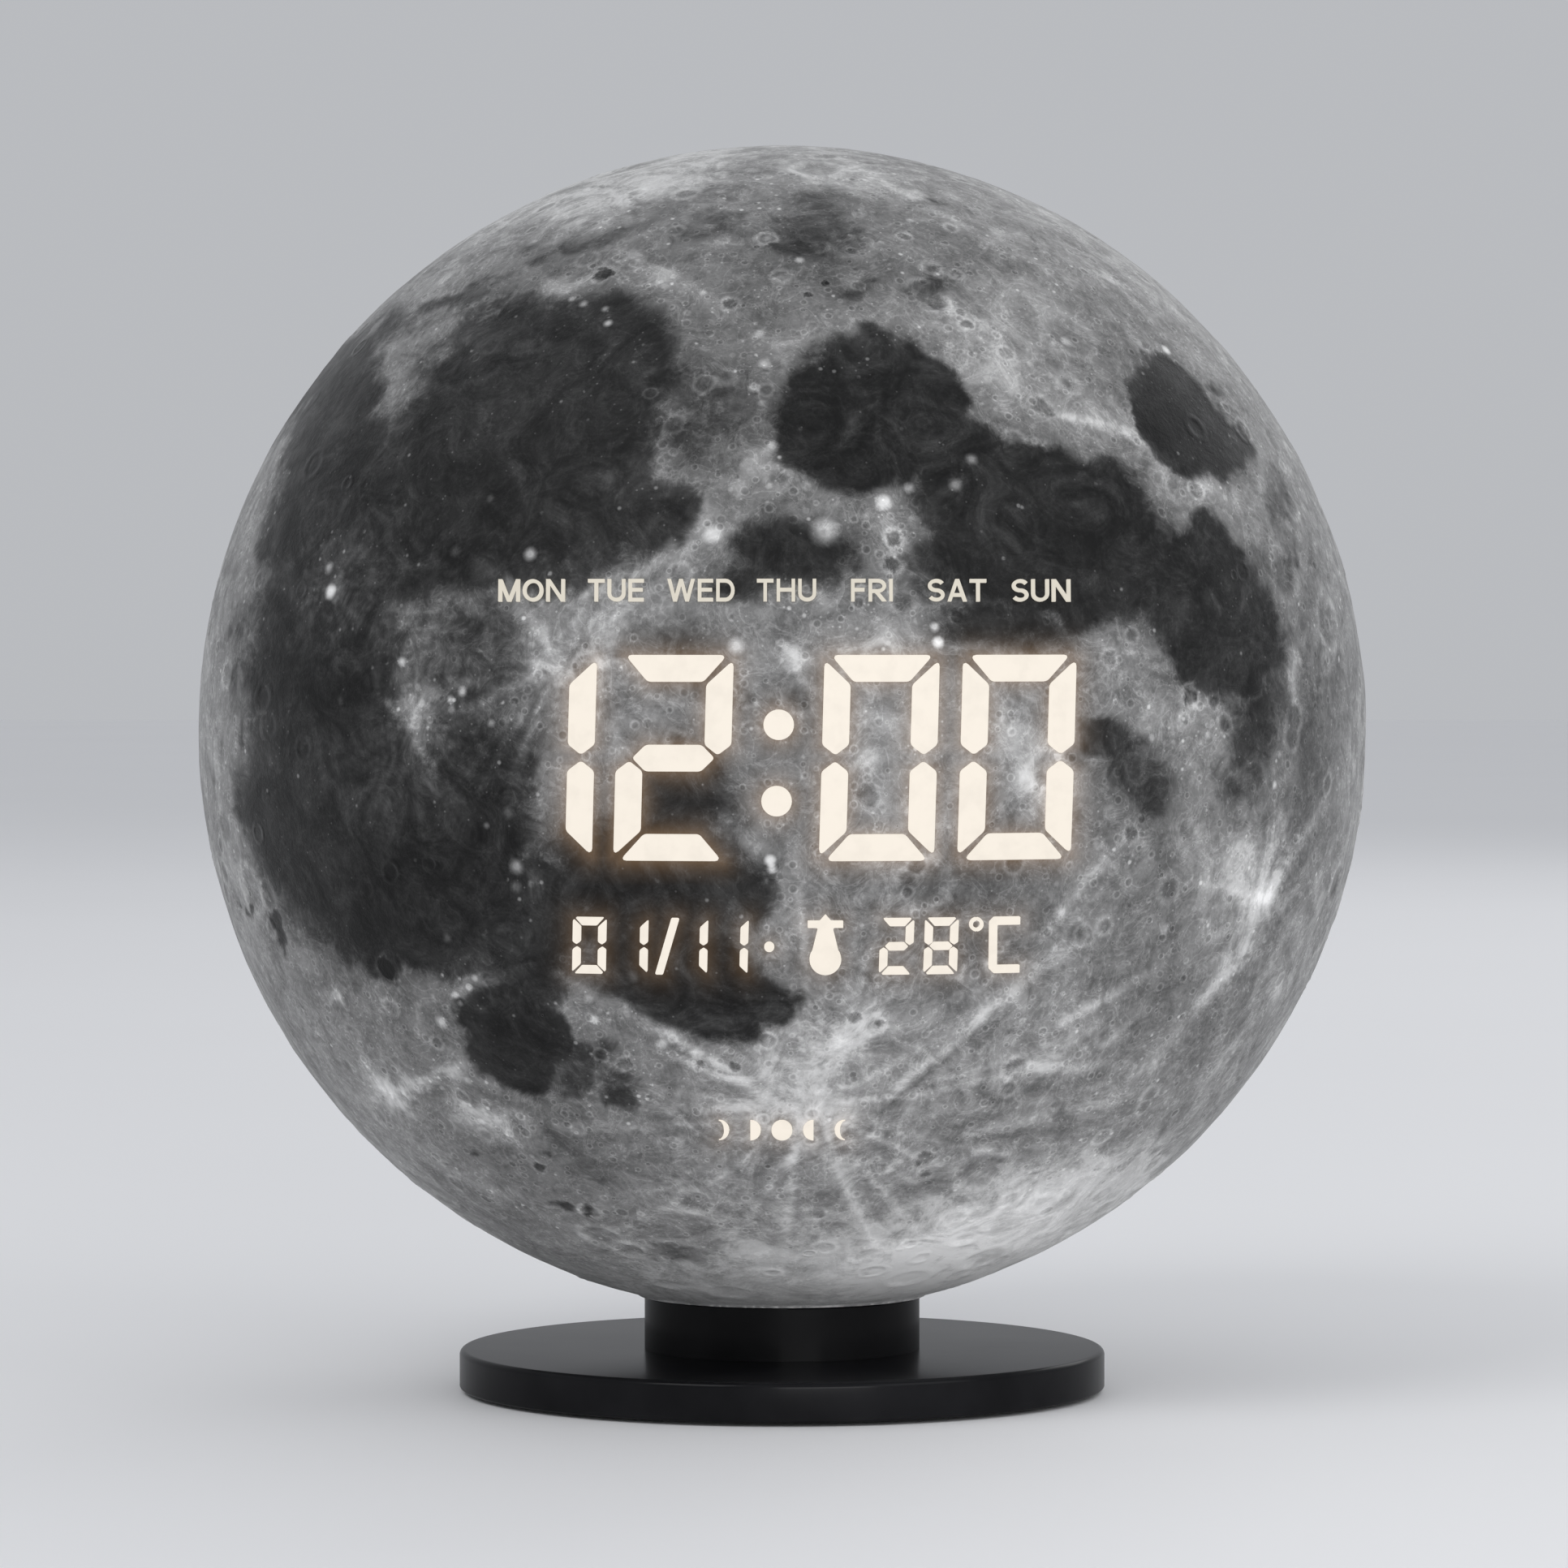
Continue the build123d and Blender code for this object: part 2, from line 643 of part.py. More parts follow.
def cell_z():
    """Underside of the cell, just above its door."""
    return COVER_TOP_Z + CELL_LIFT


def coin_cell():
    """Small coin cell that keeps the time."""
    return disc(CELL_R, CELL_T, cell_z(), 0, CELL_Y)


def cell_contacts():
    """Spring plate above the cell and spring at its rim."""
    top_z = cell_z() + CELL_T
    plate = disc(CELL_CONTACT_R, BASE_CEILING_Z - top_z, top_z, 0, CELL_Y)
    outer_r = CELL_R + CELL_SPRING_T
    hoop = sector(outer_r, BASE_CEILING_Z - cell_z(), cell_z(), -BACK_DEG, CELL_SPRING_DEG)
    return [plate, hoop - disc(CELL_R, BASE_H, 0, 0, CELL_Y)]


def cell_wires():
    """Two wires from the cell to the control board."""
    z = BASE_CEILING_Z - CELL_WIRE_Z_GAP
    start_y = CELL_Y - CELL_R - CELL_SPRING_T
    wires = []
    for x in (-CELL_WIRE_X, CELL_WIRE_X):
        points = [(x, start_y, z), (x, CELL_WIRE_HOLE_Y, z), (x, CELL_WIRE_HOLE_Y, BOARD_Z)]
        wires.append(tube(points, CELL_WIRE_BEND_R, CELL_WIRE_R))
    return wires


# Control board

def board_screws(grow=0.0):
    """Screws of the control board, or their holes when grown."""
    screws = []
    for angle in BOARD_SCREW_ANGLES_DEG:
        x, y = polar(BOARD_SCREW_CIRCLE_R, angle)
        foot_z = BOARD_Z - BOARD_SCREW_DEPTH
        shank = disc(BOARD_SCREW_R + grow, BOARD_TOP_Z - foot_z, foot_z, x, y)
        if not grow:
            shank += disc(BOARD_SCREW_HEAD_R, BOARD_SCREW_HEAD_H, BOARD_TOP_Z, x, y)
        screws.append(shank)
    return screws


def control_board():
    """Round board that fills the collar."""
    board = ring(BOARD_R, BOARD_BORE_R, BOARD_T, BOARD_Z)
    near_y = usb_mouth_y() - USB_L - USB_GAP
    notch_w = USB_W + 2 * USB_GAP
    board -= block(notch_w, BOARD_R, BASE_H, 0, near_y + BOARD_R / 2, BOARD_Z - OVER)
    for screw in board_screws(SCREW_GAP):
        board -= screw
    return board


def clock_chip():
    """Timekeeping chip on the control board."""
    return block(CLOCK_CHIP_W, CLOCK_CHIP_W, CLOCK_CHIP_H, -CLOCK_CHIP_X, 0, BOARD_TOP_Z)


def clock_crystal():
    """Crystal that times the chip."""
    return block(CRYSTAL_W, CRYSTAL_L, CRYSTAL_H, CRYSTAL_X, 0, BOARD_TOP_Z)


def temperature_sensor():
    """Sensor bead behind the vent hole in the collar."""
    z_mid = BOARD_TOP_Z + SENSOR_H / 2
    near_r = SENSOR_R - SENSOR_L / 2
    return radial_block(near_r, near_r + SENSOR_L, SENSOR_W, SENSOR_H, z_mid, SENSOR_DEG)


def cable_plugs():
    """Plugs of the cable at the control board and behind the display."""
    low_y = -(BOARD_BORE_R + CABLE_PLUG_D / 2)
    low = block(CABLE_PLUG_W, CABLE_PLUG_D, CABLE_PLUG_H, 0, low_y, BOARD_TOP_Z)
    high_y = DISPLAY_BOARD_BACK_Y + CABLE_PLUG_D / 2
    high_z = GLOBE_Z + CABLE_LEAVE_Z
    high = Pos(0, high_y, high_z) * Box(CABLE_PLUG_W, CABLE_PLUG_D, CABLE_PLUG_H)
    return [low, high]


# Buttons

def button_cap(angle):
    """Push button with a flange behind the wall and a post inwards."""
    face_r = FLANGE_FACE_R
    cap = radial_block(face_r, COLLAR_R + BUTTON_PROUD, BUTTON_W, BUTTON_H, CONTROL_Z, 0)
    cap = fillet(cap.edges().group_by(Axis.X)[-1], BUTTON_FACE_R)
    cap += radial_block(face_r - BUTTON_FLANGE_T, face_r, BUTTON_FLANGE_W, BUTTON_H, CONTROL_Z, 0)
    cap += radial_block(POST_END_R, face_r, BUTTON_POST_W, BUTTON_POST_H, CONTROL_Z, 0)
    return Rot(0, 0, angle) * cap


def switch_plunger(angle):
    """Plunger of the switch behind a button."""
    return radial_block(POST_END_R - PLUNGER_L, POST_END_R, PLUNGER_W, PLUNGER_H, CONTROL_Z, angle)


def switch_body(angle):
    """Switch housing with a well for its plunger."""
    front_r = POST_END_R - SWITCH_PROUD
    well_r = POST_END_R - PLUNGER_L - BUTTON_TRAVEL - BUTTON_GAP
    top_z = BOARD_TOP_Z + SWITCH_H
    body = radial_block(front_r - SWITCH_D, front_r, SWITCH_W, SWITCH_H, (BOARD_TOP_Z + top_z) / 2, angle)
    well_w = PLUNGER_W + 2 * SWITCH_WELL_GAP
    well_h = PLUNGER_H + 2 * SWITCH_WELL_GAP
    return body - radial_block(well_r, front_r + OVER, well_w, well_h, CONTROL_Z, angle)


# Display outlines, as (x, height) about the globe's centre

def lean(points, mid_x, mid_z):
    """Outline leant forwards and moved to its place."""
    slope = math.tan(math.radians(DIGIT_LEAN_DEG))
    return [(mid_x + x + z * slope, mid_z + z) for x, z in points]


def segment_outlines(width, height, stroke, gap):
    """Seven mitred segments of a digit about its middle, from the top one clockwise."""
    side = width / 2
    top = height / 2
    half = stroke / 2
    nib = half - gap
    bar = [(-side + gap, top), (side - gap, top), (side - gap - stroke, top - stroke)]
    bar.append((-side + gap + stroke, top - stroke))
    post = [(side, top - gap), (side, half), (side - half, gap), (side - stroke, half)]
    post.append((side - stroke, top - stroke - gap))
    middle = [(-side + half + gap, 0), (-side + stroke, nib), (side - stroke, nib)]
    middle += [(side - half - gap, 0), (side - stroke, -nib), (-side + stroke, -nib)]
    flip_z = [(x, -z) for x, z in post]
    flip_x = [(-x, z) for x, z in post]
    flip_both = [(-x, -z) for x, z in post]
    flip_bar = [(x, -z) for x, z in bar]
    return [bar, post, flip_z, flip_bar, flip_both, flip_x, middle]


def time_digit(mid_x):
    """Segment outlines of one time digit."""
    outlines = segment_outlines(DIGIT_W, DIGIT_H, DIGIT_STROKE, SEGMENT_GAP)
    return [lean(outline, mid_x, TIME_MID_Z) for outline in outlines]


def small_digit(mid_x):
    """Segment outlines of one date or temperature digit."""
    outlines = segment_outlines(SMALL_DIGIT_W, SMALL_DIGIT_H, SMALL_STROKE, SMALL_SEGMENT_GAP)
    return [lean(outline, mid_x, SMALL_ROW_Z) for outline in outlines]


def slash_outline():
    """Stroke between day and month."""
    run = SMALL_DIGIT_W / 4
    half_h = SMALL_DIGIT_H / 2
    half_w = SMALL_STROKE / 2
    points = [(-run - half_w, -half_h), (-run + half_w, -half_h)]
    points += [(run + half_w, half_h), (run - half_w, half_h)]
    return [(DATE_SLASH_X + x, SMALL_ROW_Z + z) for x, z in points]


def circle_outline(mid_x, mid_z, radius, sides=24):
    """Round outline."""
    angles = [2 * math.pi * index / sides for index in range(sides)]
    return [(mid_x + radius * math.cos(a), mid_z + radius * math.sin(a)) for a in angles]


def unit_outline():
    """Open square letter of the temperature unit."""
    side = SMALL_DIGIT_W / 2
    top = SMALL_DIGIT_H / 2
    inner = top - SMALL_STROKE
    stem_x = -side + SMALL_STROKE
    points = [(side, top), (-side, top), (-side, -top), (side, -top), (side, -inner)]
    points += [(stem_x, -inner), (stem_x, inner), (side, inner)]
    return lean(points, UNIT_X, SMALL_ROW_Z)


def thermometer_outline():
    """Thermometer sign: a bulb with a short tube."""
    foot = SMALL_ROW_Z - SMALL_DIGIT_H / 2
    bulb_z = foot + THERMOMETER_BULB_R
    top = SMALL_ROW_Z + SMALL_DIGIT_H / 2
    half = THERMOMETER_TUBE_W / 2
    start = math.acos(half / THERMOMETER_BULB_R)
    arc = [start - (math.pi + 2 * start) * index / 16 for index in range(17)]
    points = [
        (THERMOMETER_BULB_R * math.cos(a), bulb_z + THERMOMETER_BULB_R * math.sin(a)) for a in arc
    ]
    points += [(-half, top), (half, top)]
    return [(THERMOMETER_X + x, z) for x, z in points]


def phase_outline(index):
    """Lit part of the moon at one step, from a thin crescent to full and back."""
    middle = (PHASE_COUNT - 1) / 2
    mid_x = (index - middle) * PHASE_PITCH
    if index == middle:
        return circle_outline(mid_x, PHASE_Z, PHASE_R)
    lit_side = 1 if index < middle else -1
    outermost = abs(index - middle) == middle
    bulge = -PHASE_R * (CRESCENT_SHARE if outermost else HALF_MOON_SHARE)
    steps = 12
    angles = [math.pi / 2 - math.pi * step / steps for step in range(steps + 1)]
    outer = [(PHASE_R * math.cos(a), PHASE_R * math.sin(a)) for a in angles]
    inner = [(-bulge * math.cos(a), PHASE_R * math.sin(a)) for a in reversed(angles[1:-1])]
    return [(mid_x + lit_side * x, PHASE_Z + z) for x, z in outer + inner]


def weekday_outlines():
    """Seven light windows, one for each day."""
    middle = (WEEKDAY_COUNT - 1) / 2
    half_w = WEEKDAY_W / 2
    half_h = WEEKDAY_H / 2
    cut = WEEKDAY_CORNER_R
    outlines = []
    for index in range(WEEKDAY_COUNT):
        mid_x = (index - middle) * WEEKDAY_PITCH
        points = [(-half_w + cut, -half_h), (half_w - cut, -half_h), (half_w, -half_h + cut)]
        points += [(half_w, half_h - cut), (half_w - cut, half_h), (-half_w + cut, half_h)]
        points += [(-half_w, half_h - cut), (-half_w, -half_h + cut)]
        outlines.append([(mid_x + x, WEEKDAY_Z + z) for x, z in points])
    return outlines


def display_groups():
    """Every lit outline, by the node that holds it."""
    colon_offset = COLON_PITCH / 2
    lean_x = math.tan(math.radians(DIGIT_LEAN_DEG)) * colon_offset
    date = []
    for x in DATE_XS:
        date += small_digit(x)
    date.append(slash_outline())
    date.append(circle_outline(DATE_DOT_X, SMALL_ROW_Z, DATE_DOT_R))
    temperature = []
    for x in TEMPERATURE_XS:
        temperature += small_digit(x)
    degree_z = SMALL_ROW_Z + SMALL_DIGIT_H / 2 - DEGREE_R
    temperature += [circle_outline(DEGREE_X, degree_z, DEGREE_R), unit_outline(), thermometer_outline()]
    return {
        "hour_tens_guides": time_digit(HOUR_TENS_X),
        "hour_units_guides": time_digit(HOUR_UNITS_X),
        "minute_tens_guides": time_digit(MINUTE_TENS_X),
        "minute_units_guides": time_digit(MINUTE_UNITS_X),
        "colon_guides": [
            circle_outline(COLON_X + lean_x, COLON_Z + colon_offset, COLON_R),
            circle_outline(COLON_X - lean_x, COLON_Z - colon_offset, COLON_R),
        ],
        "date_guides": date,
        "temperature_guides": temperature,
        "weekday_guides": weekday_outlines(),
        "phase_guides": [phase_outline(index) for index in range(PHASE_COUNT)],
    }


def guide_back_y():
    """Plane where the light guides end, in front of the lamps."""
    return MASK_BACK_Y - LED_T - GUIDE_GAP


def light_guides(outlines):
    """Clear bars whose front ends follow the inside of the globe."""
    guides = []
    for outline in outlines:
        prism = forward_prism(outline, -GLOBE_R, guide_back_y())
        guides.append(prism & ball(MASK_R))
    return guides


def channel(outline):
    """Hole in the mask round one light guide."""
    return forward_prism(outline, -GLOBE_R, MASK_BACK_Y + OVER, GUIDE_SIDE_GAP)


def mask_outline():
    """Front view of the mask: the main field and a tab for the moon phases."""
    field = RectangleRounded(2 * MASK_HALF_W, MASK_UP + MASK_DOWN, MASK_CORNER_R)
    field = Pos(0, (MASK_UP - MASK_DOWN) / 2) * field
    tab = Pos(0, -PHASE_DOWN / 2) * RectangleRounded(2 * PHASE_HALF_W, PHASE_DOWN, PHASE_MARGIN)
    return field + tab


def display_mask(groups):
    """Black block that keeps the light of each guide apart."""
    profile = Plane.XZ * mask_outline()
    body = extrude(profile, GLOBE_R + MASK_BACK_Y)
    body = Pos(0, MASK_BACK_Y, GLOBE_Z) * body
    body = body & ball(MASK_R)
    cuts = [channel(outline) for outlines in groups.values() for outline in outlines]
    body = body.cut(*cuts)
    return body.cut(*display_leds(groups, LED_GAP), *display_screw_shapes(SCREW_GAP))


def display_board():
    """Board behind the mask that carries its lamps."""
    profile = Plane.XZ * mask_outline()
    board = Pos(0, DISPLAY_BOARD_BACK_Y, GLOBE_Z) * extrude(profile, DISPLAY_BOARD_T)
    return board.cut(*display_screw_shapes(SCREW_GAP))


def outline_middle(outline):
    """Middle of an outline's box."""
    xs = [x for x, z in outline]
    zs = [z for x, z in outline]
    return (min(xs) + max(xs)) / 2, (min(zs) + max(zs)) / 2


def display_leds(groups, grow=0.0):
    """One small lamp behind each light guide, or its pocket when grown."""
    leds = []
    for outlines in groups.values():
        for outline in outlines:
            x, z = outline_middle(outline)
            tall = max(p[1] for p in outline) - min(p[1] for p in outline) > LED_L + SEGMENT_GAP
            width, height = (LED_W, LED_L) if tall else (LED_L, LED_W)
            lamp = Box(width + 2 * grow, LED_T + 2 * grow, height + 2 * grow)
            leds.append(Pos(x, MASK_BACK_Y - LED_T / 2, GLOBE_Z + z) * lamp)
    return leds


def film(z_mid, half_w, half_h):
    """Thin printed film in front of a row of guides, inside the globe."""
    band = Pos(0, -GLOBE_R / 2, GLOBE_Z + z_mid) * Box(2 * half_w, GLOBE_R, 2 * half_h)
    return band & (ball(MASK_R + FILM_T) - ball(MASK_R))


# Bracket

def display_screw_places():
    """Screws that join bracket, board and mask."""
    return [
        (-DISPLAY_SCREW_X, DISPLAY_SCREW_UP),
        (DISPLAY_SCREW_X, DISPLAY_SCREW_UP),
        (-DISPLAY_SCREW_X, -DISPLAY_SCREW_DOWN),
        (DISPLAY_SCREW_X, -DISPLAY_SCREW_DOWN),
    ]


def display_screw_shapes(grow=0.0):
    """Screw bodies, or their holes when grown."""
    front_y = MASK_BACK_Y - DISPLAY_SCREW_BITE - grow
    shapes = []
    for x, z in display_screw_places():
        shank = forward_disc(DISPLAY_SCREW_R + grow, x, z, front_y, BRACKET_BACK_Y)
        if not grow:
            head_back = BRACKET_BACK_Y + DISPLAY_SCREW_HEAD_H
            shank += forward_disc(DISPLAY_SCREW_HEAD_R, x, z, BRACKET_BACK_Y, head_back)
        shapes.append(shank)
    return shapes


def display_bracket():
    """Upright plate with two arms that grip the stem."""
    height = BRACKET_UP + BRACKET_DOWN
    mid_z = GLOBE_Z + (BRACKET_UP - BRACKET_DOWN) / 2
    plate = Pos(0, BRACKET_Y + BRACKET_T / 2, mid_z) * Box(2 * BRACKET_HALF_W, BRACKET_T, height)
    window_z = GLOBE_Z + CABLE_LEAVE_Z
    plate -= Pos(0, BRACKET_Y, window_z) * Box(BRACKET_WINDOW_W, 4 * BRACKET_T, BRACKET_WINDOW_H)
    for x, z in display_screw_places():
        plate += forward_disc(STANDOFF_R, x, z, DISPLAY_BOARD_BACK_Y, BRACKET_Y + BRACKET_T / 2)
    for arm_z in (UPPER_ARM_Z, LOWER_ARM_Z):
        z = GLOBE_Z + arm_z - BRACKET_ARM_T / 2
        length = -BRACKET_Y
        plate += block(BRACKET_ARM_W, length, BRACKET_ARM_T, 0, BRACKET_Y + length / 2, z)
        plate += disc(BRACKET_RING_R, BRACKET_ARM_T, z)
    plate -= disc(STEM_R + STEM_HOLE_GAP, STEM_TOP_Z, 0)
    return plate.cut(*display_screw_shapes(SCREW_GAP), *grub_screws(SCREW_GAP))


def grub_screws(grow=0.0):
    """Grub screws that lock the bracket's rings to the stem."""
    screws = []
    for arm_z in (UPPER_ARM_Z, LOWER_ARM_Z):
        front_y = STEM_R
        back_y = BRACKET_RING_R + grow
        screws.append(forward_disc(GRUB_R + grow, 0, arm_z, front_y, back_y))
    ring_zone = disc(STEM_R + STEM_HOLE_GAP, STEM_TOP_Z, 0)
    return [screw - ring_zone for screw in screws] if not grow else screws


def driver_chip():
    """Chip that drives the display, on the back of its board."""
    y = DISPLAY_BOARD_BACK_Y + DRIVER_CHIP_H / 2
    return Pos(0, y, GLOBE_Z + DRIVER_CHIP_Z) * Box(DRIVER_CHIP_W, DRIVER_CHIP_H, DRIVER_CHIP_W)


# Cables

def display_cable():
    """Cable from the control board up the stem to the display."""
    low_y = -BOARD_BORE_R
    high_y = DISPLAY_BOARD_BACK_Y + CABLE_PLUG_D
    high_z = GLOBE_Z + CABLE_LEAVE_Z
    points = [(CABLE_X, low_y, CABLE_Z), (CABLE_X, 0, CABLE_Z)]
    points += [(CABLE_X, 0, high_z), (CABLE_X, high_y, high_z)]
    return tube(points, [CABLE_BEND_LOW_R, CABLE_BEND_HIGH_R], CABLE_R)


def lamp_wire():
    """Wire from the control board up the stem to the night light."""
    low_y = -BOARD_BORE_R
    top_z = LAMP_BOARD_Z + LAMP_BOARD_T
    points = [(LAMP_WIRE_X, low_y, CABLE_Z), (LAMP_WIRE_X, 0, CABLE_Z), (LAMP_WIRE_X, 0, top_z)]
    return tube(points, CABLE_BEND_LOW_R, LAMP_WIRE_R)


# Night light

def lamp_board():
    """Round board on the top of the stem."""
    return ring(LAMP_BOARD_R, STEM_R + STEM_HOLE_GAP, LAMP_BOARD_T, LAMP_BOARD_Z)


def lamp_leds():
    """Ring of lamps on the lamp board."""
    leds = []
    for angle in spread(LAMP_LED_COUNT, 0.0):
        x, y = polar(LAMP_LED_CIRCLE_R, angle)
        lamp = Rot(0, 0, angle) * Box(LAMP_LED_W, LAMP_LED_W, LAMP_LED_H, align=UP)
        leds.append(Pos(x, y, LAMP_BOARD_Z + LAMP_BOARD_T) * lamp)
    return leds


def lamp_dome():
    """Milky dome over the lamps, with a ledge under the board."""
    inner_r = LAMP_BOARD_R + DOME_GAP
    outer_r = inner_r + DOME_WALL
    skirt_z = LAMP_BOARD_Z - DOME_LEDGE_T
    dome_z = LAMP_BOARD_Z + LAMP_BOARD_T
    outer = Pos(0, 0, dome_z) * Sphere(outer_r)
    inner = Pos(0, 0, dome_z) * Sphere(inner_r)
    below = disc(2 * outer_r, dome_z, 0)
    dome = (outer - inner) - below
    dome += ring(outer_r, inner_r, dome_z - skirt_z, skirt_z)
    return dome + ring(outer_r, inner_r - DOME_LEDGE_W, DOME_LEDGE_T, skirt_z)


def nuts_on_stem():
    """Nuts above the clamp plate and on both sides of the lamp board."""
    return {
        "clamp_nut": [hex_nut(NUT_H, CLAMP_TOP_Z)],
        "lamp_nuts": [hex_nut(NUT_H, LAMP_BOARD_Z - NUT_H), hex_nut(NUT_H, LAMP_BOARD_Z + LAMP_BOARD_T)],
        "stem_foot_nut": [hex_nut(THIN_NUT_H, STEM_Z)],
    }


# Nodes

def all_nodes():
    """Every node of the clock with its solids."""
    shell = globe_shell()
    groups = display_groups()
    nodes = {
        "front_shell": [shell & half_space(-1)],
        "rear_shell": [shell & half_space(1)],
        "seam_ring": [seam_ring()],
        "clamp_plate": [clamp_plate()],
        "clamp_gasket": [clamp_gasket()],
        "stem_tube": [stem_tube()],
        "stem_foot_washer": [ring(WASHER_R, STEM_R + STEM_HOLE_GAP, WASHER_T, NUT_TOP_Z)],
        "collar": [collar()],
        "usb_socket": [usb_socket()],
        "usb_tongue": [usb_tongue()],
        "base_disc": [base_disc()],
        "base_weight": [base_weight()],
        "base_cover": [base_cover()],
        "cover_screws": cover_screws(),
        "foot_pads": foot_pads(),
        "battery_door": [battery_door()],
        "coin_cell": [coin_cell()],
        "cell_contacts": cell_contacts(),
        "cell_wires": cell_wires(),
        "control_board": [control_board()],
        "board_screws": board_screws(),
        "clock_chip": [clock_chip()],
        "clock_crystal": [clock_crystal()],
        "temperature_sensor": [temperature_sensor()],
        "cable_plugs": cable_plugs(),
        "button_switches": [switch_body(angle) for angle in BUTTON_ANGLES_DEG.values()],
        "display_mask": [display_mask(groups)],
        "display_board": [display_board()],
        "display_leds": display_leds(groups),
        "display_bracket": [display_bracket()],
        "display_screws": display_screw_shapes(),
        "bracket_grub_screws": grub_screws(),
        "driver_chip": [driver_chip()],
        "weekday_film": [film(WEEKDAY_Z, MASK_HALF_W - MASK_CORNER_R, WEEKDAY_H / 2 + SEGMENT_GAP)],
        "display_cable": [display_cable()],
        "lamp_wire": [lamp_wire()],
        "lamp_board": [lamp_board()],
        "lamp_leds": lamp_leds(),
        "lamp_dome": [lamp_dome()],
    }
    nodes.update(nuts_on_stem())
    for name, angle in BUTTON_ANGLES_DEG.items():
        nodes[name + "_button"] = [button_cap(angle)]
        nodes[name + "_plunger"] = [switch_plunger(angle)]
    for name, outlines in groups.items():
        nodes[name] = light_guides(outlines)
    return nodes


def write_nodes():
    """Write one STEP file for each node."""
    os.makedirs("parts", exist_ok=True)
    for name, pieces in all_nodes().items():
        solids = [solid for piece in pieces for solid in piece.solids()]
        shape = solids[0] if len(solids) == 1 else Compound(children=solids)
        export_step(shape, "parts/" + name + ".step")


write_nodes()
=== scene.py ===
"""Looks of the moon globe desk clock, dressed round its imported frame."""
import json
import logging
import math
import random
from dataclasses import dataclass
from enum import Enum
from functools import reduce
from operator import add
from typing import Callable, Iterable, Sequence

import bmesh
import bpy
import numpy as np
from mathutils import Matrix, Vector, noise


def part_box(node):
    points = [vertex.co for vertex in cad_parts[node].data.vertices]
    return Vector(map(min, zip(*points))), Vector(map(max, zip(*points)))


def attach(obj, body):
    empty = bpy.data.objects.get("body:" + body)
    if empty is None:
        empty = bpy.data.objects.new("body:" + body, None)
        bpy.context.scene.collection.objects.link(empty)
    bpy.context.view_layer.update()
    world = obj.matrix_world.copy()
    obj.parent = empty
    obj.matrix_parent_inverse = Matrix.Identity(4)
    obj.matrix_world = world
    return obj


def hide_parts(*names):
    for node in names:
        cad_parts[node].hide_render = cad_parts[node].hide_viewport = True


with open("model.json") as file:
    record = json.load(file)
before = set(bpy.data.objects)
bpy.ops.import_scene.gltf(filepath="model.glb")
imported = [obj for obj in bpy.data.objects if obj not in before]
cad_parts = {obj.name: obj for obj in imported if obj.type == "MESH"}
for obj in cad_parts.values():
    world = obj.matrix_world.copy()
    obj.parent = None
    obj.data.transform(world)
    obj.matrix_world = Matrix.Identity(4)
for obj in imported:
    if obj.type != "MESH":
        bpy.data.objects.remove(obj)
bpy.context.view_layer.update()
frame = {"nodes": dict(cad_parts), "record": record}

log = logging.getLogger("moon_clock")

MM = 0.001
Point = tuple[float, float]
Colour = tuple[float, float, float]
Span = tuple[float, float]
Shares = tuple[float, ...]
BLACK = (0.0, 0.0, 0.0)
BODY = "clock_body"
MAPS = ("sea", "lift", "glow", "dots")
NO_LENGTH = 1e-9
WELD = 1e-6


# Shader sockets as numbers

class Socket:
    """A value of a shader that adds Math nodes when it is used in an expression."""

    def __init__(self, tree: "ShaderTree", link: bpy.types.NodeSocket) -> None:
        """Wrap one output socket.

        Args:
            tree: the shader it belongs to.
            link: the output socket.
        """
        self.tree = tree
        self.link = link

    def math(self, operation: str, *others: "Socket | float", clamp: bool = False) -> "Socket":
        """Apply one Math operation.

        Args:
            operation: the Math node's operation.
            others: the further inputs.
            clamp: whether the result is kept between 0 and 1.

        Returns:
            The result.
        """
        inputs = dict(enumerate((self, *others)))
        return self.tree.node("ShaderNodeMath", {"operation": operation, "use_clamp": clamp}, inputs)

    def reflected(self, operation: str, other: float) -> "Socket":
        """Apply a Math operation with this value second."""
        inputs = {0: other, 1: self}
        return self.tree.node("ShaderNodeMath", {"operation": operation}, inputs)

    def __add__(self, other: "Socket | float") -> "Socket":
        """Sum."""
        return self.math("ADD", other)

    __radd__ = __add__

    def __mul__(self, other: "Socket | float") -> "Socket":
        """Product."""
        return self.math("MULTIPLY", other)

    __rmul__ = __mul__

    def __sub__(self, other: "Socket | float") -> "Socket":
        """Difference."""
        return self.math("SUBTRACT", other)

    def __rsub__(self, other: float) -> "Socket":
        """Difference from a number."""
        return self.reflected("SUBTRACT", other)

    def __truediv__(self, other: "Socket | float") -> "Socket":
        """Quotient."""
        return self.math("DIVIDE", other)

    def __pow__(self, other: "Socket | float") -> "Socket":
        """Power."""
        return self.math("POWER", other)

    def step(self, low: float, high: float) -> "Socket":
        """Rise smoothly from 0 at low to 1 at high, or fall where low is the larger.

        Args:
            low: the value that gives 0.
            high: the value that gives 1.

        Returns:
            The share between 0 and 1.
        """
        settings = {"interpolation_type": "SMOOTHSTEP", "clamp": True}
        rise = self.tree.node("ShaderNodeMapRange", settings, {0: self, 1: min(low, high), 2: max(low, high)})
        return rise if low < high else 1 - rise

    def fall(self, start: float, end: float, amount: float) -> "Socket":
        """Fall evenly from an amount at start to 0 at end."""
        inputs = {0: self, 1: start, 2: end, 3: amount, 4: 0.0}
        return self.tree.node("ShaderNodeMapRange", {"clamp": True}, inputs)


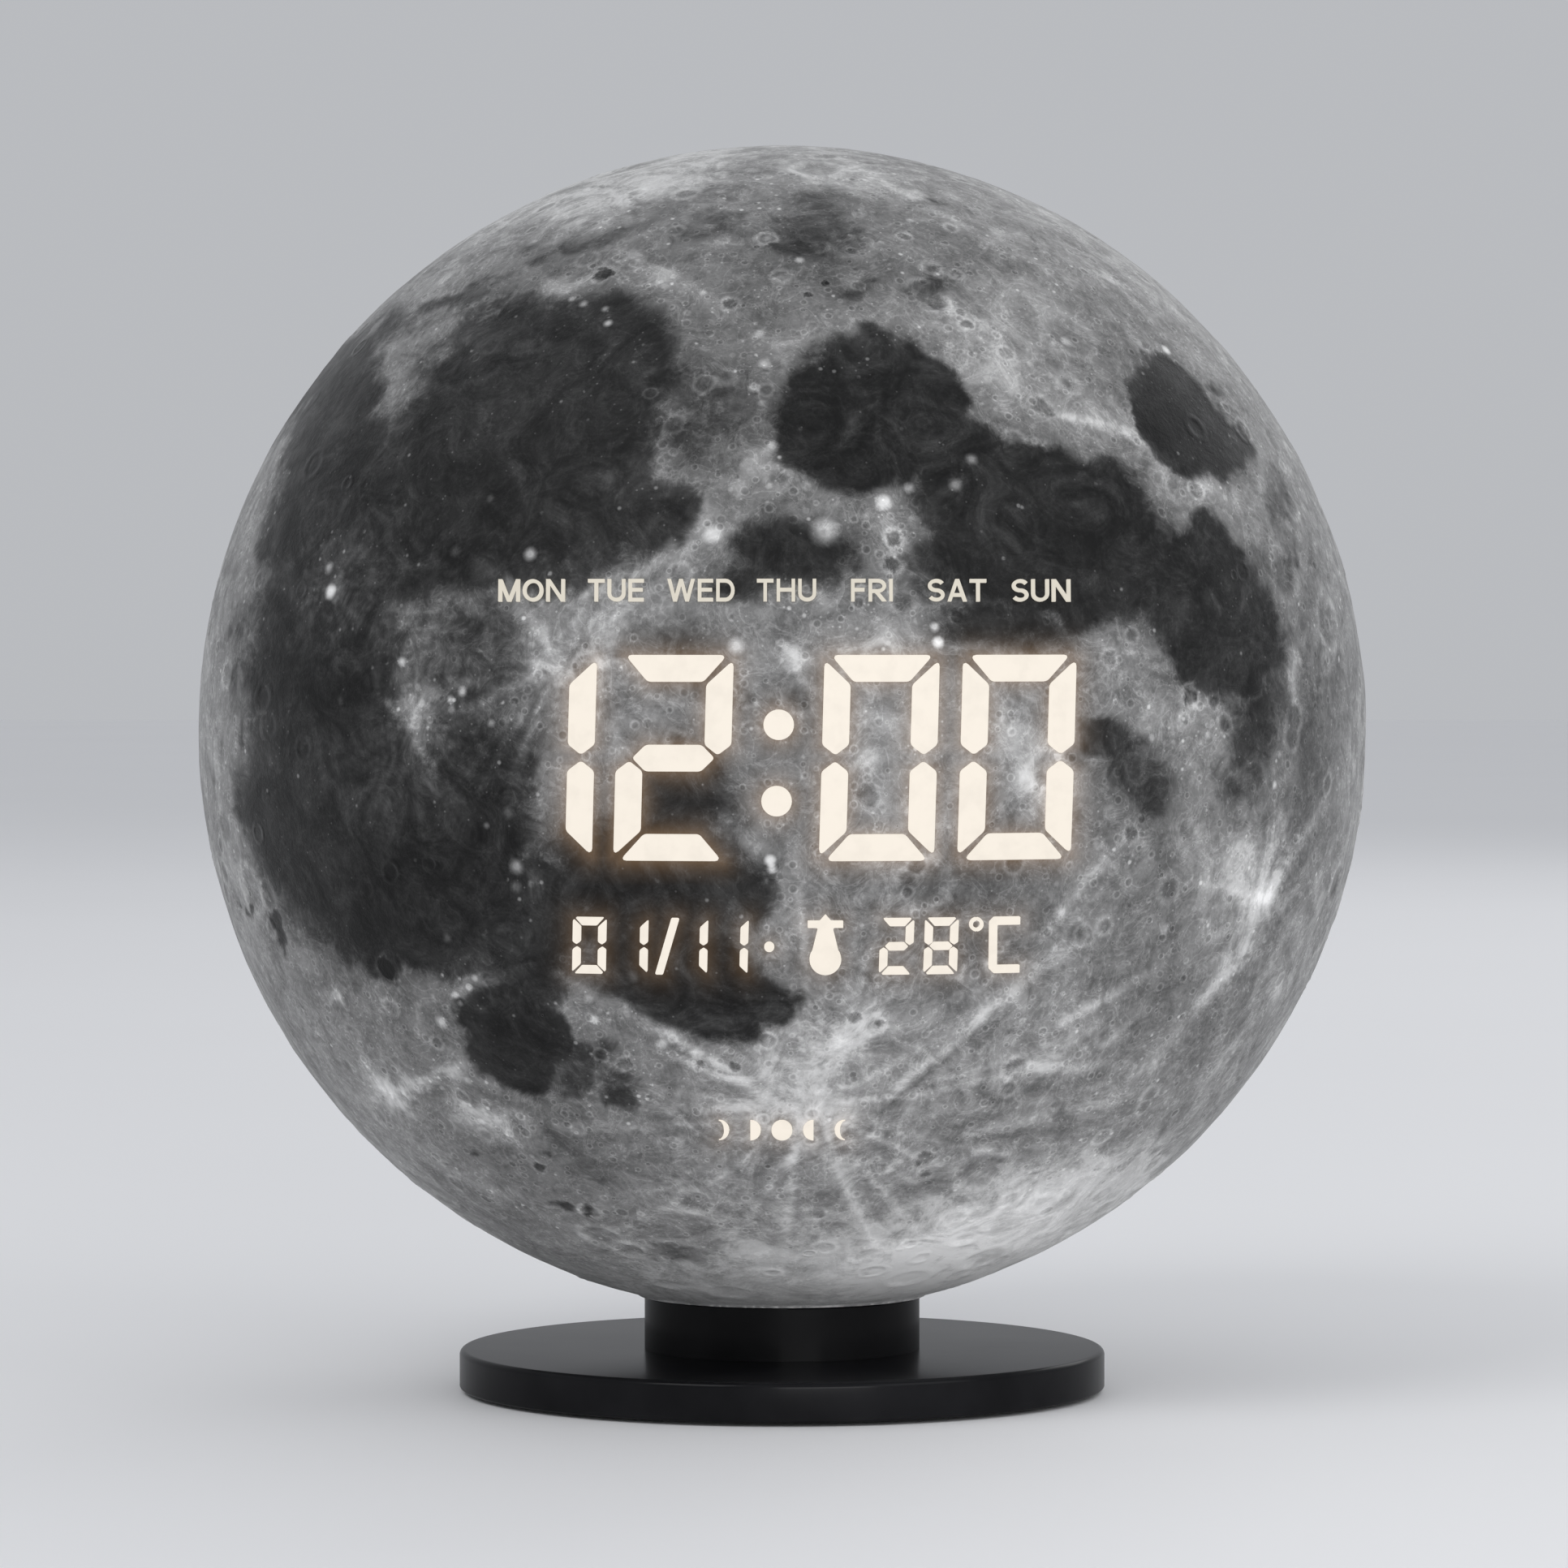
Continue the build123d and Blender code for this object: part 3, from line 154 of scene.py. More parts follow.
class ShaderTree:
    """One material with its nodes."""

    def __init__(self, name: str) -> None:
        """Start a material that holds one Principled shader.

        Args:
            name: the material's name.
        """
        self.material = bpy.data.materials.new(name)
        self.material.use_nodes = True
        self.nodes = self.material.node_tree.nodes
        self.links = self.material.node_tree.links
        self.shader = next(n for n in self.nodes if n.type == "BSDF_PRINCIPLED")

    def node(
        self, kind: str, settings: dict | None = None, inputs: dict | None = None, output: int | str = 0
    ) -> Socket:
        """Add one node.

        Args:
            kind: the node's type.
            settings: its properties, or a ramp's stops under the key stops.
            inputs: values or sockets by index or name.
            output: which output to give back.

        Returns:
            That output.
        """
        node = self.nodes.new(kind)
        for key, value in (settings or {}).items():
            if key == "stops":
                self.set_stops(node.color_ramp, value)
            else:
                setattr(node, key, value)
        for key, value in (inputs or {}).items():
            if isinstance(value, Socket):
                self.links.new(value.link, node.inputs[key])
            else:
                node.inputs[key].default_value = value
        return Socket(self, node.outputs[output])

    @staticmethod
    def set_stops(ramp: bpy.types.ColorRamp, stops: Sequence[tuple[float, Colour]]) -> None:
        """Give a colour ramp its stops."""
        while len(ramp.elements) < len(stops):
            ramp.elements.new(1.0)
        for element, (place, colour) in zip(ramp.elements, stops):
            element.position = place
            element.color = (*colour, 1.0)

    def fix(self, name: str, value: float | Colour | Socket) -> None:
        """Set or link one input of the Principled shader."""
        target = self.shader.inputs[name]
        if isinstance(value, Socket):
            self.links.new(value.link, target)
        elif isinstance(value, tuple):
            target.default_value = (*value, 1.0)
        else:
            target.default_value = value

    def place(self) -> Socket:
        """Place on the piece, in metres."""
        return self.node("ShaderNodeTexCoord", output="Object")

    def shifted(self, place: Socket, centre: Sequence[float], scale: float | Sequence[float]) -> Socket:
        """Place measured from a centre and scaled.

        Args:
            place: the place to start from.
            centre: the point that becomes the origin.
            scale: one scale, or one for each axis.

        Returns:
            The new place.
        """
        sizes = (scale,) * 3 if isinstance(scale, (int, float)) else tuple(scale)
        start = tuple(-c * s for c, s in zip(centre, sizes))
        return self.node("ShaderNodeMapping", None, {"Vector": place, "Location": start, "Scale": sizes})

    def vector(self, operation: str, *values: Socket | Sequence[float], output: int = 0) -> Socket:
        """Apply one Vector Math operation."""
        return self.node("ShaderNodeVectorMath", {"operation": operation}, dict(enumerate(values)), output)

    def noise(
        self, place: Socket, scale: float, detail: float = 4.0, rough: float = 0.55, warp: float = 0.0
    ) -> Socket:
        """Cloudy noise between 0 and 1.

        Args:
            place: where it is read.
            scale: how many lumps a unit holds.
            detail: how many finer layers it has.
            rough: how strong the finer layers are.
            warp: how much it is twisted.

        Returns:
            The noise.
        """
        inputs = {"Vector": place, "Scale": scale, "Detail": detail, "Roughness": rough, "Distortion": warp}
        return self.node("ShaderNodeTexNoise", None, inputs)

    def cells(self, place: Socket, scale: float, feature: str = "F1") -> Socket:
        """Cell pattern: the distance to the nearest cell point or edge."""
        inputs = {"Vector": place, "Scale": scale}
        return self.node("ShaderNodeTexVoronoi", {"feature": feature}, inputs, "Distance")

    def picked_cells(self, place: Socket, scale: float) -> tuple[Socket, Socket, Socket]:
        """Cell pattern with the distance to the cell point and two random numbers for each cell."""
        distance = self.cells(place, scale)
        colour = Socket(self, self.nodes[-1].outputs["Color"])
        first = self.node("ShaderNodeSeparateColor", None, {0: colour})
        return distance, first, Socket(self, self.nodes[-1].outputs[1])

    def blend(self, share: Socket | float, first: Colour | Socket, second: Colour | Socket) -> Socket:
        """Mix two colours.

        Args:
            share: how much of the second one shows.
            first: the colour at 0.
            second: the colour at 1.

        Returns:
            The mixed colour.
        """
        def full(colour: Colour | Socket) -> tuple | Socket:
            """Colour with its alpha."""
            return colour if isinstance(colour, Socket) else (*colour, 1.0)
        inputs = {0: share, 6: full(first), 7: full(second)}
        return self.node("ShaderNodeMix", {"data_type": "RGBA"}, inputs, output=2)

    def bump(self, height: Socket, depth: float, strength: float = 1.0) -> Socket:
        """Normal bent by a height, where a height of 1 stands depth metres out."""
        return self.node("ShaderNodeBump", None, {"Height": height, "Distance": depth, "Strength": strength})


# Finishes. A roughness mix is the least roughness, or its share, and what the noise adds.

@dataclass(frozen=True)
class Moulded:
    """Moulded plastic or rubber with a fine grain and slight unevenness."""

    name: str
    colour: Colour
    roughness: float
    grain: float = 900.0
    grain_depth: float = 0.01 * MM
    mottle: float = 0.12
    specular: float = 0.5
    coat: float = 0.0
    coat_roughness: float = 0.15
    cloud_scale: float = 60.0
    cloud_span: Span = (0.3, 0.7)
    least_light: float = 0.002
    roughness_mix: Span = (0.9, 0.2)

    def make(self) -> bpy.types.Material:
        """Build the material."""
        tree = ShaderTree(self.name)
        place = tree.place()
        cloud = tree.noise(place, self.cloud_scale, 5.0)
        fine = tree.noise(place, self.grain, 3.0)
        light = tuple(min(1.0, c * (1 + self.mottle) + self.least_light) for c in self.colour)
        dark = tuple(c * (1 - self.mottle) for c in self.colour)
        tree.fix("Base Color", tree.blend(cloud.step(*self.cloud_span), dark, light))
        least, extra = self.roughness_mix
        tree.fix("Roughness", self.roughness * (least + extra * cloud))
        tree.fix("Specular IOR Level", self.specular)
        tree.fix("Coat Weight", self.coat)
        tree.fix("Coat Roughness", self.coat_roughness)
        tree.fix("Normal", tree.bump(fine, self.grain_depth))
        return tree.material


@dataclass(frozen=True)
class Metal:
    """Plated metal with fine brushed lines."""

    name: str
    colour: Colour
    roughness: float
    lines: tuple[float, float, float] = (300.0, 300.0, 4000.0)
    line_depth: float = 0.006 * MM
    cloud_scale: float = 120.0
    cloud_span: Span = (0.35, 0.65)
    dark_share: float = 0.82
    roughness_mix: Span = (0.7, 0.6)

    def make(self) -> bpy.types.Material:
        """Build the material."""
        tree = ShaderTree(self.name)
        place = tree.place()
        brushed = tree.noise(tree.shifted(place, (0, 0, 0), self.lines), 1.0, 3.0)
        cloud = tree.noise(place, self.cloud_scale, 4.0)
        dark = tuple(c * self.dark_share for c in self.colour)
        tree.fix("Base Color", tree.blend(cloud.step(*self.cloud_span), dark, self.colour))
        tree.fix("Metallic", 1.0)
        least, extra = self.roughness_mix
        tree.fix("Roughness", self.roughness * (least + extra * brushed))
        tree.fix("Normal", tree.bump(brushed, self.line_depth))
        return tree.material


@dataclass(frozen=True)
class CircuitBoard:
    """Solder mask with fine tracks and pads showing through."""

    name: str
    mask: Colour
    track: Colour
    pad: Colour = (0.7, 0.62, 0.4)
    track_scale: float = 420.0
    track_h: float = 0.02 * MM
    pad_scale: float = 700.0
    cloud_scale: float = 200.0
    track_span: Span = (0.09, 0.05)
    pad_span: Span = (0.2, 0.14)
    dark_share: float = 0.85
    track_share: float = 0.6
    roughness_mix: Span = (0.35, 0.1)

    def make(self) -> bpy.types.Material:
        """Build the material."""
        tree = ShaderTree(self.name)
        place = tree.place()
        track = tree.cells(place, self.track_scale, feature="DISTANCE_TO_EDGE").step(*self.track_span)
        dots = tree.cells(place, self.pad_scale).step(*self.pad_span)
        cloud = tree.noise(place, self.cloud_scale)
        mask = tree.blend(cloud, tuple(c * self.dark_share for c in self.mask), self.mask)
        shade = tree.blend(track * self.track_share, mask, self.track)
        tree.fix("Base Color", tree.blend(dots, shade, self.pad))
        least, extra = self.roughness_mix
        tree.fix("Roughness", least + extra * cloud)
        tree.fix("Normal", tree.bump(track, self.track_h))
        return tree.material


@dataclass(frozen=True)
class Lit:
    """Milky plastic that glows."""

    name: str
    colour: Colour
    glow: float
    unlit_share: float = 0.06
    dim_share: float = 0.94
    cloud_scale: float = 400.0
    cloud_span: Span = (0.25, 0.6)
    uneven: float = 0.9
    specular: float = 0.2
    roughness_mix: Span = (0.4, 0.1)

    def make(self) -> bpy.types.Material:
        """Build the material."""
        tree = ShaderTree(self.name)
        place = tree.place()
        cloud = tree.noise(place, self.cloud_scale, 3.0)
        dim = tuple(c * self.dim_share for c in self.colour)
        unlit = tuple(c * self.unlit_share for c in self.colour)
        tree.fix("Base Color", tree.blend(cloud, tuple(c * self.uneven for c in unlit), unlit))
        tree.fix("Specular IOR Level", self.specular)
        tree.fix("Emission Color", tree.blend(cloud.step(*self.cloud_span), dim, self.colour))
        tree.fix("Emission Strength", self.glow)
        least, extra = self.roughness_mix
        tree.fix("Roughness", least + extra * cloud)
        return tree.material


# Moon surface

@dataclass(frozen=True)
class Patch:
    """An oval area of the moon, placed on the disc as the front shows it.

    Places and half widths are shares of the outline's radius. The amount is how much of a dark plain it is,
    or how far it lifts the brightness, and soft is the width of its edge as a share of its size.
    """

    x: float
    z: float
    half_w: float
    half_h: float
    turn_deg: float
    amount: float
    soft: float = 0.35


@dataclass(frozen=True)
class Streak:
    """A straight bright or dark line, from one place on the disc to another."""

    x0: float
    z0: float
    x1: float
    z1: float
    half_w: float
    lift: float
    taper: float = 0.6


@dataclass(frozen=True)
class Spot:
    """A small bright crater."""

    x: float
    z: float
    radius: float
    lift: float = 0.5


@dataclass(frozen=True)
class Ring:
    """A crater with a bright rim and a floor that is darker by drop."""

    x: float
    z: float
    radius: float
    lift: float = 0.18
    drop: float = 0.04


@dataclass(frozen=True)
class RayCrater:
    """A young bright crater with streaks that run out from it."""

    x: float
    z: float
    core: float
    reach: float
    strength: float
    spokes: float = 5.0
    halo_reach: float = 5.0
    halo_lift: float = 0.55
    fade: float = 1.5


def rows(kind: type, table: Sequence[Sequence[float]]) -> list:
    """Records of one kind, one from each row of values."""
    return [kind(*row) for row in table]


# Dark plains of the front: the north-west first, then the middle, the east and the edge.
SEAS = rows(Patch, (
    (-0.42, 0.55, 0.215, 0.205, 0, 1.0, 0.2), (-0.27, 0.66, 0.13, 0.09, -20, 0.88, 0.3),
    (-0.15, 0.55, 0.13, 0.15, 0, 0.52, 0.5), (-0.54, 0.14, 0.135, 0.12, 0, 0.57, 0.5),
    (-0.56, 0.48, 0.12, 0.14, 0, 1.0, 0.25), (-0.47, 0.38, 0.27, 0.13, 10, 1.0, 0.3),
    (-0.23, 0.40, 0.10, 0.07, 10, 0.9, 0.3), (-0.78, 0.40, 0.11, 0.19, -20, 1.0, 0.25),
    (-0.765, 0.57, 0.055, 0.14, -38, 0.9, 0.3), (-0.66, 0.36, 0.19, 0.14, 0, 1.0, 0.3),
    (-0.79, 0.12, 0.15, 0.26, 0, 0.98, 0.22), (-0.76, -0.12, 0.17, 0.24, 12, 1.0, 0.2),
    (-0.66, -0.27, 0.20, 0.14, -30, 1.0, 0.2), (-0.54, -0.14, 0.13, 0.20, 0, 0.95, 0.4),
    (-0.43, -0.30, 0.13, 0.12, 0, 0.95, 0.3), (-0.24, -0.24, 0.20, 0.13, 0, 0.95, 0.35),
    (-0.18, -0.10, 0.10, 0.10, 0, 0.75, 0.5), (-0.17, -0.41, 0.17, 0.085, -10, 1.0, 0.25),
    (-0.06, -0.46, 0.10, 0.055, 12, 1.0, 0.25), (-0.46, -0.515, 0.10, 0.09, -20, 1.1, 0.16),
    (-0.42, -0.43, 0.05, 0.05, 0, 0.9, 0.4), (-0.35, -0.56, 0.06, 0.045, 0, 0.72, 0.4),
    (-0.27, -0.605, 0.035, 0.035, 0, 0.75, 0.4), (-0.68, -0.40, 0.035, 0.03, 0, 0.9, 0.3),
    (0.155, 0.56, 0.160, 0.145, 0, 1.0, 0.11), (0.30, 0.50, 0.07, 0.055, 0, 1.05, 0.25),
    (0.40, 0.41, 0.175, 0.095, -5, 1.1, 0.16), (0.52, 0.37, 0.14, 0.105, -28, 1.1, 0.16),
    (0.43, 0.29, 0.20, 0.085, -4, 1.05, 0.2), (0.60, 0.29, 0.07, 0.08, 0, 0.95, 0.3),
    (0.38, 0.19, 0.12, 0.045, 0, 0.8, 0.4), (0.745, 0.20, 0.095, 0.135, 12, 0.98, 0.14),
    (0.72, 0.31, 0.05, 0.06, 0, 0.95, 0.25), (0.79, 0.04, 0.05, 0.09, 0, 0.72, 0.45),
    (0.655, 0.29, 0.06, 0.08, 0, 0.85, 0.5), (0.81, 0.14, 0.05, 0.12, 8, 0.6, 0.5),
    (0.60, -0.07, 0.07, 0.075, 0, 0.62, 0.4), (0.56, 0.0, 0.07, 0.035, 0, 0.75, 0.4),
    (0.78, -0.07, 0.045, 0.08, 0, 0.6, 0.5), (0.69, 0.535, 0.125, 0.066, -52, 1.1, 0.12),
    (0.02, 0.325, 0.10, 0.06, 0, 0.95, 0.35), (-0.06, 0.27, 0.08, 0.03, 10, 0.8, 0.4),
    (-0.16, 0.15, 0.06, 0.06, 0, 0.62, 0.5), (-0.04, -0.25, 0.04, 0.06, 0, 0.8, 0.4),
    (0.05, 0.87, 0.10, 0.055, 3, 0.58, 0.3), (-0.11, 0.87, 0.08, 0.025, 5, 0.5, 0.4),
    (-0.34, 0.85, 0.14, 0.018, 17, 0.52, 0.4), (-0.56, 0.74, 0.10, 0.016, 31, 0.58, 0.4),
    (-0.66, 0.68, 0.06, 0.025, 47, 0.6, 0.4), (0.27, 0.765, 0.045, 0.03, -15, 0.56, 0.4),
    (0.14, 0.78, 0.05, 0.018, 0, 0.5, 0.4), (-0.867, -0.345, 0.012, 0.048, 24, 1.0, 0.2),
    (-0.914, -0.312, 0.006, 0.016, 20, 0.8, 0.3), (-0.385, -0.808, 0.020, 0.010, -25, 0.75, 0.3),
    (-0.332, -0.822, 0.008, 0.018, 38, 0.75, 0.3), (-0.18, -0.863, 0.045, 0.011, -12, 0.5, 0.4),
    (-0.41, -0.74, 0.012, 0.010, 0, 0.6, 0.4), (-0.525, -0.712, 0.007, 0.006, 0, 0.6, 0.4),
    (0.25, 0.927, 0.022, 0.006, -18, 0.6, 0.4), (0.43, 0.862, 0.016, 0.005, -32, 0.6, 0.4),
    (0.85, 0.38, 0.02, 0.06, 22, 0.5, 0.5), (0.87, 0.28, 0.015, 0.04, 12, 0.5, 0.5),
))

# Areas of the front that are brighter, or darker, than their surroundings. Some rows along the bottom edge
# are painted light, as if the globe were lit from below.
LANDS_AND_PAINTED_LIGHT = rows(Patch, (
    (-0.44, 0.15, 0.08, 0.06, 0, 0.06), (-0.46, -0.52, 0.08, 0.07, -20, -0.16),
    (0.69, 0.53, 0.09, 0.05, -52, -0.10), (-0.04, 0.66, 0.05, 0.04, 0, 0.05),
    (-0.66, 0.565, 0.05, 0.10, -22, 0.09),
    (-0.54, 0.69, 0.09, 0.035, 32, 0.14), (-0.38, 0.785, 0.06, 0.014, 18, 0.16),
    (-0.22, 0.80, 0.07, 0.02, -25, 0.16), (-0.04, 0.66, 0.035, 0.11, 2, -0.05),
    (-0.12, 0.745, 0.07, 0.025, -22, 0.06), (0.05, 0.76, 0.06, 0.03, 0, 0.02),
    (-0.04, 0.49, 0.03, 0.05, 10, 0.14), (-0.13, 0.39, 0.10, 0.025, 48, 0.11),
    (-0.12, 0.35, 0.06, 0.035, 10, 0.08), (-0.27, 0.29, 0.09, 0.014, 22, 0.16),
    (-0.18, 0.47, 0.08, 0.035, -5, 0.08), (-0.17, 0.57, 0.06, 0.06, 0, 0.04),
    (-0.32, 0.45, 0.032, 0.012, 12, 0.16), (0.38, 0.67, 0.11, 0.10, -35, 0.16),
    (0.50, 0.74, 0.13, 0.07, -40, 0.03), (0.44, 0.57, 0.12, 0.05, -15, 0.08),
    (0.60, 0.50, 0.12, 0.026, -44, 0.07), (0.76, 0.38, 0.09, 0.045, -30, 0.14),
    (0.56, 0.53, 0.06, 0.014, -12, 0.08), (0.58, 0.17, 0.07, 0.065, 0, 0.10),
    (0.64, 0.07, 0.06, 0.05, -20, 0.13), (0.73, -0.02, 0.04, 0.10, 15, 0.08),
    (0.17, 0.16, 0.09, 0.045, 0, 0.14), (0.045, 0.155, 0.025, 0.03, 0, 0.2),
    (0.17, 0.33, 0.03, 0.09, 0, 0.10), (0.17, 0.0, 0.09, 0.09, 0, 0.10), (0.40, 0.02, 0.07, 0.06, 0, 0.17),
    (0.43, -0.09, 0.055, 0.06, 0, 0.20), (0.16, -0.04, 0.03, 0.03, 0, 0.14),
    (-0.48, 0.12, 0.12, 0.075, -6, -0.05), (-0.385, 0.13, 0.035, 0.025, 0, 0.16),
    (-0.30, 0.20, 0.10, 0.04, 10, 0.10), (-0.64, 0.015, 0.045, 0.05, 0, 0.03),
    (-0.62, -0.05, 0.04, 0.04, 0, 0.10), (-0.62, 0.31, 0.06, 0.025, 10, 0.06),
    (-0.76, 0.31, 0.06, 0.03, 20, 0.07), (-0.43, -0.24, 0.014, 0.06, 0, 0.2),
    (-0.08, -0.17, 0.05, 0.02, -20, 0.14), (0.02, -0.30, 0.055, 0.10, 0, 0.05),
    (0.09, -0.56, 0.20, 0.12, 5, 0.17), (0.06, -0.68, 0.22, 0.08, 0, 0.10),
    (-0.08, -0.60, 0.11, 0.05, -35, 0.05), (0.42, -0.50, 0.22, 0.12, 30, 0.08),
    # painted light: the row at (0.32, -0.89) brightens the lower right edge as if lit from below
    (0.32, -0.89, 0.30, 0.10, 22, 0.50), (0.50, -0.72, 0.22, 0.12, 40, 0.08),
    (0.0, -0.84, 0.34, 0.13, 0, 0.16), (0.82, -0.26, 0.05, 0.07, 0, 0.10), (0.77, -0.22, 0.11, 0.09, 0, 0.13),
    (0.86, 0.11, 0.02, 0.045, 0, 0.25), (-0.67, -0.61, 0.035, 0.025, -20, 0.24),
    (-0.60, -0.585, 0.05, 0.012, 5, 0.2), (-0.50, -0.655, 0.09, 0.018, -32, 0.22),
    (-0.60, -0.66, 0.20, 0.10, -40, 0.01), (-0.75, -0.455, 0.026, 0.010, -45, 0.3),
    (-0.57, -0.42, 0.09, 0.06, 0, 0.05), (-0.40, -0.45, 0.05, 0.035, -40, 0.07),
    (-0.94, -0.12, 0.035, 0.20, 5, 0.04), (-0.30, 0.93, 0.34, 0.035, 17, 0.20),
    (0.93, 0.0, 0.05, 0.30, 0, -0.07), (-0.47, 0.01, 0.08, 0.08, 0, -0.12),
    # painted light: the row at (0.05, -0.94) brightens the bottom edge as if lit from below
    (0.05, -0.94, 0.36, 0.06, 0, 0.28), (0.0, -0.26, 0.05, 0.07, 0, 0.06), (0.05, 0.80, 0.16, 0.06, 0, -0.07),
    (0.75, 0.60, 0.05, 0.20, 40, -0.03), (0.10, 0.96, 0.12, 0.03, -10, 0.12),
    (-0.30, -0.75, 0.12, 0.05, 10, -0.06), (0.35, -0.24, 0.12, 0.05, 0, -0.08),
    (-0.35, -0.66, 0.06, 0.03, -30, -0.10),
))

# Areas strewn with small bright dots.
DOTTED = rows(Patch, (
    (-0.045, 0.69, 0.035, 0.12, 0, 1.0), (-0.12, 0.76, 0.09, 0.03, -15, 0.9),
    (-0.03, 0.50, 0.03, 0.07, 10, 0.6), (-0.12, 0.40, 0.07, 0.03, 45, 0.6),
    (0.26, 0.86, 0.08, 0.03, -10, 0.6), (0.18, 0.38, 0.04, 0.09, 0, 0.7), (-0.56, -0.44, 0.06, 0.05, 0, 1.0),
    (-0.55, -0.62, 0.12, 0.03, -35, 0.9), (-0.32, -0.47, 0.04, 0.04, 0, 0.7),
    (0.67, 0.04, 0.08, 0.08, 0, 0.7), (-0.60, 0.03, 0.07, 0.07, 0, 0.7), (-0.45, -0.24, 0.02, 0.05, 0, 0.8),
    (0.60, 0.66, 0.06, 0.05, -40, 0.6), (-0.20, -0.56, 0.15, 0.03, -20, 0.6),
))

STREAKS = rows(Streak, (
    (-0.28, -0.45, 0.04, -0.66, 0.009, 0.28), (-0.20, -0.54, 0.03, -0.64, 0.006, 0.18),
    (-0.10, -0.53, 0.05, -0.62, 0.006, 0.14), (0.20, -0.60, 0.33, -0.49, 0.008, 0.26),
    (0.33, -0.49, 0.47, -0.37, 0.012, 0.20), (0.46, -0.32, 0.56, -0.20, 0.010, 0.20),
    (0.07, -0.54, 0.17, -0.47, 0.012, 0.15), (0.48, -0.49, 0.66, -0.39, 0.008, 0.18),
    (0.30, -0.69, 0.62, -0.61, 0.010, 0.12), (0.44, -0.57, 0.68, -0.565, 0.010, 0.14),
    (0.36, -0.60, 0.54, -0.50, 0.006, 0.10), (0.02, -0.70, 0.0, -0.95, 0.008, 0.22),
    (0.08, -0.72, 0.17, -0.88, 0.010, 0.14), (0.38, -0.80, 0.32, -0.92, 0.006, 0.12),
    (0.83, -0.28, 0.93, -0.12, 0.010, 0.22), (0.82, -0.28, 0.85, -0.14, 0.008, 0.16),
    (0.83, -0.28, 0.72, -0.46, 0.016, 0.20), (0.80, -0.36, 0.64, -0.56, 0.010, 0.16),
    (0.83, -0.28, 0.70, -0.25, 0.010, 0.16), (0.87, -0.42, 0.72, -0.60, 0.008, 0.12),
    (0.165, 0.70, 0.165, 0.47, 0.005, 0.12), (0.190, 0.69, 0.195, 0.54, 0.006, 0.09),
    (0.12, 0.63, 0.12, 0.50, 0.006, 0.05), (-0.36, 0.22, -0.385, 0.48, 0.005, 0.09),
    (-0.38, 0.22, -0.44, 0.42, 0.006, 0.08), (-0.35, 0.20, -0.30, 0.36, 0.006, 0.08),
    (-0.26, 0.29, -0.21, 0.40, 0.005, 0.12), (-0.40, 0.22, -0.55, 0.33, 0.008, 0.08),
    (-0.77, 0.25, -0.65, 0.13, 0.010, 0.14), (-0.69, 0.20, -0.46, 0.17, 0.006, 0.12),
    (-0.72, 0.22, -0.52, 0.21, 0.004, 0.10), (-0.66, 0.12, -0.63, 0.02, 0.012, 0.14),
    (-0.64, 0.02, -0.50, 0.06, 0.008, 0.14), (-0.64, 0.02, -0.56, -0.14, 0.008, 0.10),
    (-0.64, 0.02, -0.82, -0.04, 0.008, 0.07), (-0.58, 0.10, -0.40, 0.08, 0.008, 0.10),
    (0.48, 0.55, 0.61, 0.515, 0.008, 0.22), (0.61, 0.51, 0.70, 0.42, 0.012, 0.14),
    (0.36, 0.86, 0.50, 0.76, 0.006, 0.12), (0.55, 0.79, 0.72, 0.62, 0.006, 0.12),
    (0.10, 0.98, 0.38, 0.83, 0.006, 0.10), (0.17, -0.645, 0.36, -0.485, 0.006, -0.16),
    (0.28, -0.695, 0.50, -0.675, 0.007, -0.12), (0.36, -0.62, 0.44, -0.56, 0.010, -0.10),
    (0.20, -0.775, 0.37, -0.80, 0.006, -0.12), (-0.42, -0.66, -0.35, -0.72, 0.010, -0.14),
    (-0.72, 0.74, -0.60, 0.84, 0.012, 0.08),
))

